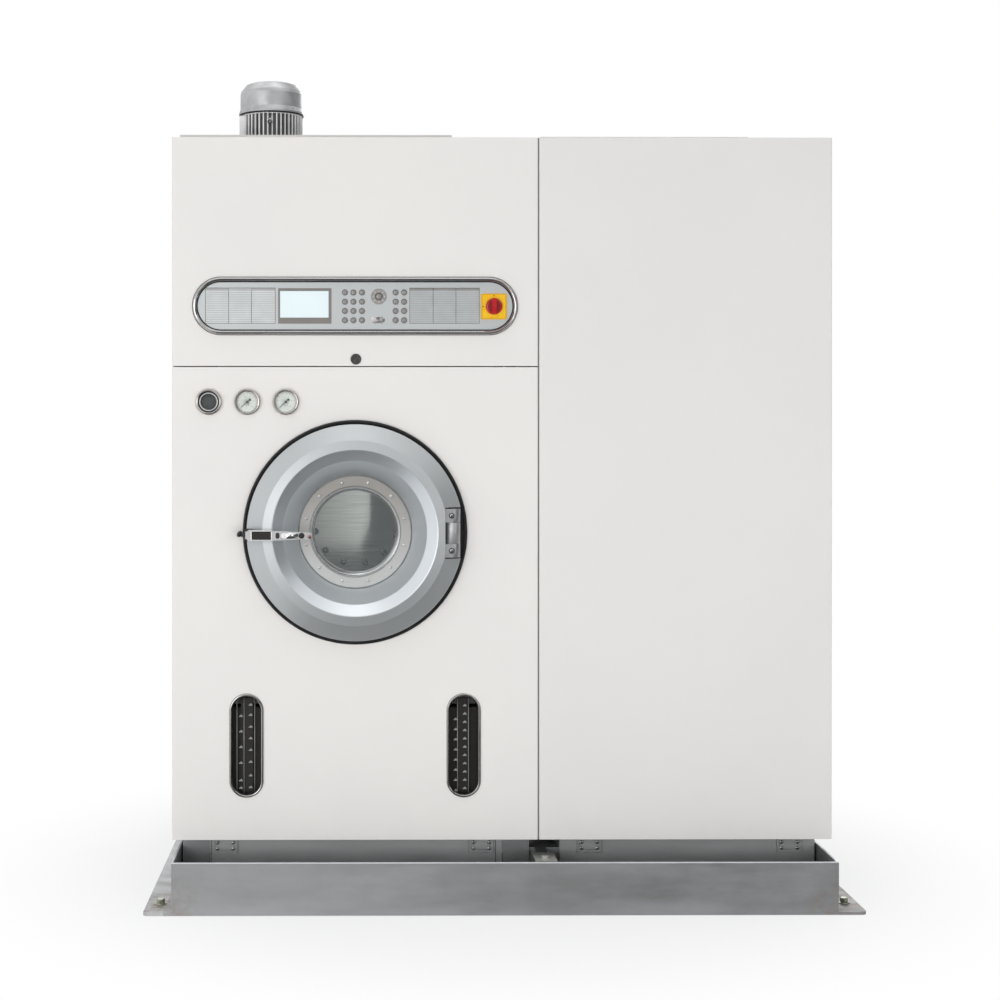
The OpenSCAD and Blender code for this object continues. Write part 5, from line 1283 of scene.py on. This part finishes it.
# A brighter and a near-black copy of the chrome: painted highlight on rims and crown, painted dark reflection in
# the panel.
BLADE_PAINTED_HIGHLIGHT = chrome("blade_painted_highlight", (0.84, 0.845, 0.85), 0.05, 0.10)
PAINTED_DARK_REFLECTION = chrome("painted_dark_reflection", (0.045, 0.043, 0.042), 0.07, 0.12)
fill = slab("latch_inlay", rectangle(LATCH_X + 0.0135, LATCH_X + 0.0625, LATCH_Z - 0.0105, LATCH_Z + 0.0105),
            BLADE_FRONT + 0.2 * MM, BLADE_FRONT - 0.9 * MM, 0.7)
add(fill, "latch", PAINTED_DARK_REFLECTION)
for name, x0, x1, z0, z1 in (("top", 0.011, 0.065, 0.0105, 0.0128),
                             ("bottom", 0.011, 0.065, -0.0128, -0.0105),
                             ("left", 0.011, 0.0135, -0.0105, 0.0105),
                             ("right", 0.0625, 0.065, -0.0105, 0.0105)):
    edge = slab("inlay_rim_" + name, rectangle(LATCH_X + x0, LATCH_X + x1, LATCH_Z + z0, LATCH_Z + z1),
                BLADE_FRONT + 0.2 * MM, BLADE_FRONT - 1.3 * MM, 0.6)
    add(edge, "latch", BLADE_PAINTED_HIGHLIGHT)


def crowned_bar(name, x0, x1, half0, half1, back, rise, body, finish, steps=14):
    """A bar along x whose front is curved from top to bottom and whose height tapers."""
    points, faces = [], []
    for x, half in ((x0, half0), (x1, half1)):
        for k in range(steps + 1):
            t = -1 + 2 * k / steps
            points.append((x, back - rise * (1 - t * t), LATCH_Z + half * t))
    count = steps + 1
    faces += [(k, k + 1, count + k + 1, count + k) for k in range(steps)]
    faces += [tuple(range(count)), tuple(range(2 * count - 1, count - 1, -1)),
              (0, count, 2 * count - 1, count - 1)]
    return add(solid(name, points, faces), body, finish)


crowned_bar("latch_crown", LATCH_X + 0.0875, LATCH_X + 0.1315, 0.0088, 0.0070, BLADE_FRONT + 0.1 * MM,
            3.4 * MM, "latch",
            BLADE_PAINTED_HIGHLIGHT)
oval = slab("latch_oval", round_ended(LATCH_X + 0.079, LATCH_Z, 0.0052, 0.0078), BLADE_FRONT + 0.5 * MM,
            BLADE_FRONT - 0.35 * MM, 0.2)
add(oval, "latch", BLACK_STEEL)
cap = turned("latch_buffer_cap", (LATCH_X + 0.140, FRONT, LATCH_Z),
             [(0.01, 99.9), (5.6, 99.7), (7.4, 98.9), (7.6, 97.0), (7.4, 96.1)], 32)
add(cap, "latch", SEAL_RUBBER)
END_SCREW = casting("copper_screw", (0.42, 0.235, 0.19), 0.3, 0.9, 420, 0.7)
dome_screws("latch_end_screw", [(LATCH_X + 0.1600, LATCH_Z - 0.0025)], BLADE_FRONT + 0.4 * MM, 5.4, 2.6,
            "latch", END_SCREW, 2.0)
print("latch from x %.4f to %.4f, front y %.4f" % (latch_low.x, latch_high.x, latch_low.y))

# %% [markdown]
# ## Tank windows
# Each oval window shows a dark tank with slim level tubes in front of it. Beside the tubes stand rows of
# small grey pointers. The tubes are thin smoky rods, and each pointer is a wedge on a flat shelf that points
# up. How the real ones work can't be seen, so only their places and their outline are followed.

# %% Level tubes and pointers
TUBE_Y = -0.5292
TUBE_GLASS = plastic("level_tube", (0.20, 0.21, 0.21), 0.18, Coat_Weight=0.4)
POINTER = plastic("level_pointer", (0.27, 0.285, 0.28), 0.4)


def upright_rods(name, xs, z0, z1, radius, y, finish, sides=10):
    """Thin round rods that stand on end, one for each x."""
    points, faces = [], []
    for x in xs:
        faces += prism_faces(len(points), sides)
        for z in (z0, z1):
            for k in range(sides):
                a = 2 * math.pi * k / sides
                points.append((x + radius * MM * math.cos(a), y + radius * MM * math.sin(a), z))
    return add(solid(name, points, faces), "machine", finish)


def pointers(name, columns):
    """Small wedges on a flat shelf, from (x, list of heights)."""
    points, faces = [], []
    for x, heights in columns:
        for z in heights:
            faces += prism_faces(len(points), 5)
            flat = [(x - 4.6 * MM, z - 2.4 * MM), (x + 5.4 * MM, z - 2.4 * MM), (x + 5.4 * MM, z - 1.0 * MM),
                    (x + 1.4 * MM, z + 4.2 * MM), (x - 4.6 * MM, z - 1.0 * MM)]
            points += [(u, y, v) for y in (TUBE_Y + 0.0004, TUBE_Y - 0.0016) for u, v in flat]
    return add(solid(name, points, faces, smooth=False), "machine", POINTER)


LEFT_TUBES = (-0.6906, -0.6721, -0.6444)
RIGHT_TUBES = (-0.1155, -0.0870)
TUBE_LOW, TUBE_HIGH, TUBE_R = 0.290, 0.542, 1.3
for name, xs in (("left_level_tubes", LEFT_TUBES), ("right_level_tubes", RIGHT_TUBES)):
    upright_rods(name, xs, TUBE_LOW, TUBE_HIGH, TUBE_R, TUBE_Y, TUBE_GLASS)
pointers("left_pointers", [(-0.6807, (0.490, 0.4496, 0.4088, 0.3676, 0.3221, 0.3025)),
                           (-0.6553, (0.5194, 0.4927, 0.4619, 0.4318, 0.4013, 0.3702, 0.3351, 0.3043))])
pointers("right_pointers", [(-0.1210, tuple(0.4812 - 0.02645 * i for i in range(8))),
                            (-0.0972, tuple(0.5170 - 0.02158 * i for i in range(11)))])
print("level tubes", len(LEFT_TUBES) + len(RIGHT_TUBES))

# %% [markdown]
# ## Base: flange bolts, washers and plate screws
# The tray is bolted to the floor through its side flanges, with plated hexagon bolts on broad washers. The
# plating has a green-yellow tint. The plinth's joints are covered by bolted plates.

# %% Bolts of the base
GREEN_ZINC = casting("green_zinc", (0.44, 0.46, 0.36), 0.38, 0.85, 300, 0.7, edge=(0.6, 0.61, 0.52))


def hex_bolt(name, x, y, z, across, height, washer, turn):
    """A hexagon head with its corners turned off, upright on a washer."""
    thick = 1.9
    flat = [(0.01, 0), (washer, 0), (washer, thick - 0.5), (washer - 0.5, thick), (0.01, thick)]
    plate = turned(name + "_washer", (x, y, z), flat, 40, False)
    r = across / math.sqrt(3)
    points, faces = [], []
    for radius, h in ((r, 0), (r, height * 0.82), (r * 0.86, height), (r * 0.80, height)):
        for k in range(6):
            a = math.radians(60 * k + turn)
            points.append((x + radius * MM * math.cos(a), y + radius * MM * math.sin(a),
                           z + (thick + h) * MM))
    for level in range(3):
        faces += [(6 * level + k, 6 * level + (k + 1) % 6, 6 * level + 6 + (k + 1) % 6, 6 * level + 6 + k)
                  for k in range(6)]
    faces += [tuple(range(18, 24)), tuple(range(5, -1, -1))]
    head = soften(solid(name + "_head", points, faces, smooth=False), 0.5, 2, 25)
    add(joined(name, [plate, head]), "machine", GREEN_ZINC)


FLANGE_TOP = 0.008
for k, (x, y) in enumerate((x, y) for y in (-BOLT_Y, BOLT_Y) for x in (-BOLT_X, BOLT_X)):
    hex_bolt(f"floor_bolt_{k + 1}", x, y, FLANGE_TOP, 19, 12, 15, turn=11 + 17 * k)
print("four floor bolts")

# %% [markdown]
# ## Roof fan: lifting eye and lid screws
# The fan's motor hangs from a forged eye when it is fitted. The eye is a small section swept round a circle,
# with two flat arms above it and a thin rod below. Round heads hold the cowl to the body, and a dark ring under
# the cowl's edge is painted shadow that gives the gap between them its depth.

# %% Lifting eye and lid screws
FAN_X, FAN_Y = -0.614, -0.250
EYE_Z = span("fan_cowl")[0].z - 0.0315


def ring_mesh(name, centre, major, minor, steps=36, sides=12):
    """A round ring that faces the viewer."""
    points, faces = [], []
    for i in range(steps):
        a = 2 * math.pi * i / steps
        for k in range(sides):
            b = 2 * math.pi * k / sides
            r = (major + minor * math.cos(b)) * MM
            points.append((centre[0] + r * math.cos(a), centre[1] + minor * MM * math.sin(b),
                           centre[2] + r * math.sin(a)))
    for i in range(steps):
        j = (i + 1) % steps
        faces += [(i * sides + k, i * sides + (k + 1) % sides, j * sides + (k + 1) % sides, j * sides + k)
                  for k in range(sides)]
    return solid(name, points, faces)


EYE_STEEL = casting("eye_steel", (0.10, 0.10, 0.105), 0.34, 0.9, 380, 0.75)
FAN_FRONT = FAN_Y - 0.0905
eye = ring_mesh("eye_ring", (FAN_X, FAN_FRONT, EYE_Z), 4.6, 2.0)
arms = [slab(f"eye_arm_{side}",
             [(FAN_X + side * 0.0082, EYE_Z + 0.0215), (FAN_X + side * 0.0060, EYE_Z + 0.0225),
                                 (FAN_X + side * 0.0012, EYE_Z + 0.0060),
              (FAN_X + side * 0.0034, EYE_Z + 0.0050)],
             FAN_FRONT + 1.6 * MM, FAN_FRONT - 1.2 * MM, 0) for side in (-1, 1)]
add(joined("lifting_eye", [eye]), "machine", EYE_STEEL)
add(joined("eye_arms", arms), "machine", STEEL)
upright_rods("eye_rod", (FAN_X,), 2.024, EYE_Z - 0.0070, 1.3, FAN_FRONT, EYE_STEEL)
cowl_low = span("fan_cowl")[0]
# A dark ring under the cowl's edge: painted shadow in the gap.
shadow_gap = turned("cowl_painted_shadow", (FAN_X, FAN_Y, cowl_low.z),
                    [(84.0, -0.4), (84.0, -4.2), (87.6, -4.2), (88.9, -2.6), (88.9, -0.4), (84.0, -0.4)],
                    72, False)
add(shadow_gap, "machine", SEAL_RUBBER)


UP = Vector((0, 0, 1))


def outward_heads(name, spots, profile):
    """Round heads; a spot is the middle of a foot, the way the head stands out and the way across it."""
    points, faces = [], []
    steps, count = 16, len(profile)
    for foot, out, across in spots:
        n = len(points)
        for i in range(steps):
            b = 2 * math.pi * i / steps
            points += [foot + (out * h + across * r * math.cos(b) + UP * r * math.sin(b)) * MM for r,
                       h in profile]
        for i in range(steps):
            j = (i + 1) % steps
            faces += [(n + count * i + k, n + count * i + k + 1, n + count * j + k + 1, n + count * j + k)
                      for k in range(count - 1)]
    return add(solid(name, points, faces), "machine", SCREW_STEEL)


COWL_R = 85.6
cowl_spots = []
for angle in (-134, -46, 46, 134):
    c, s = math.cos(math.radians(angle)), math.sin(math.radians(angle))
    out = Vector((c, s, 0))
    cowl_spots.append((Vector((FAN_X, FAN_Y, cowl_low.z + 0.0105)) + out * COWL_R * MM, out,
                       Vector((-s, c, 0))))
outward_heads("cowl_screws", cowl_spots, [(0.01, 3.2), (2.52, 2.88), (3.78, 1.6), (4.2, -0.6)])
print("lifting eye at z = %.3f" % EYE_Z)

# %% [markdown]
# ## Side and back panels
# The plain sides and back aren't in the photograph's view, but the machine is seen from every side. Their
# sheets are held by rows of flat-headed screws near the edges, with the pitch that thin sheet needs to lie
# flat. Every head stands on its sheet and rides the machine.

# %% Panel screws on the sides and back
side_low, side_high, _ = span("cabinet_panels")
PAN_HEAD = [(0.01, 1.5), (3.4, 1.4), (4.6, 0.8), (5.0, -0.2)]
SIDE_X = 0.8575
edge_rows = [(y, z) for y in (-0.46, 0.555) for z in (0.24, 0.59, 0.94, 1.29, 1.64, 1.93)]
for name, way in (("left_side_screws", -1), ("right_side_screws", 1)):
    outward_heads(name, [(Vector((way * SIDE_X, y, z)), Vector((way, 0, 0)), Vector((0, 1, 0))) for y,
                         z in edge_rows],
                  PAN_HEAD)
rows = (0.20, 0.55, 0.90, 1.25, 1.60, 1.955)
back_places = [(x, z) for x in (-0.840, 0.075, 0.113, 0.840) for z in rows]
back_places += [(x, z) for x in (-0.535, -0.230, 0.355, 0.598) for z in (rows[0], rows[-1])]
outward_heads("back_screws", [(Vector((x, side_high.y, z)), Vector((0, 1, 0)), Vector((1, 0, 0)))
                              for x, z in back_places], PAN_HEAD)
print("cabinet panels x %.4f..%.4f y %.4f..%.4f" % (side_low.x, side_high.x, side_low.y, side_high.y))


# %% [markdown]
# ## Plinth: plates and their fixings
# Four plates tie the plinth's sheets to the frame, each with six domed screws. Thin bright strips along three
# edges of each plate are a painted highlight that sets it off from the sheet behind it. Dark seams show where
# two sheets meet, and a grey gasket closes the gap between the two cabinets.

# %% Fixings of the plinth
plinth_low, plinth_high, _ = span("plinth_panels")
PLATES = (-0.760, -0.081, 0.206, 0.738)
PLATE_WIDE, PLATE_LOW, PLATE_HIGH, PLATE_RIM = 0.066, 0.113, 0.1695, 0.0013
plate_y = -0.447
plate_places = [(x + dx, PLATE_LOW + dz) for x in PLATES for dx in (0.012, 0.054)
                for dz in (0.012, 0.028, 0.046)]
dome_screws("plinth_screws", plate_places, plate_y - 3.0 * MM, 4.9, 1.4, "machine", SCREW_STEEL)
SEAM_GREY = plastic("seam_grey", (0.16, 0.145, 0.135), 0.6)
edges = []
for x in PLATES:
    edges += [(x, x + PLATE_WIDE, PLATE_LOW, PLATE_LOW + PLATE_RIM),
              (x, x + PLATE_RIM, PLATE_LOW, PLATE_HIGH),
              (x + PLATE_WIDE - PLATE_RIM, x + PLATE_WIDE, PLATE_LOW, PLATE_HIGH)]
# Bright strips along three edges of each plate: painted highlight.
strips("plinth_plate_highlights", edges, plate_y, plate_y - 0.5 * MM, STEEL, "machine")
seams = [(x, x + 0.0015, 0.010, PLATE_HIGH) for x in (-0.7655, -0.0105)]
strips("plinth_seams", seams, -0.4432, -0.4439, BLACK_STEEL, "machine")
strips("seam_gasket", [(0.0926, 0.0954, 0.172, 1.994)], -0.5478, -0.5484, SEAM_GREY, "machine")
print("plinth y %.4f..%.4f" % (plinth_low.y, plinth_high.y))
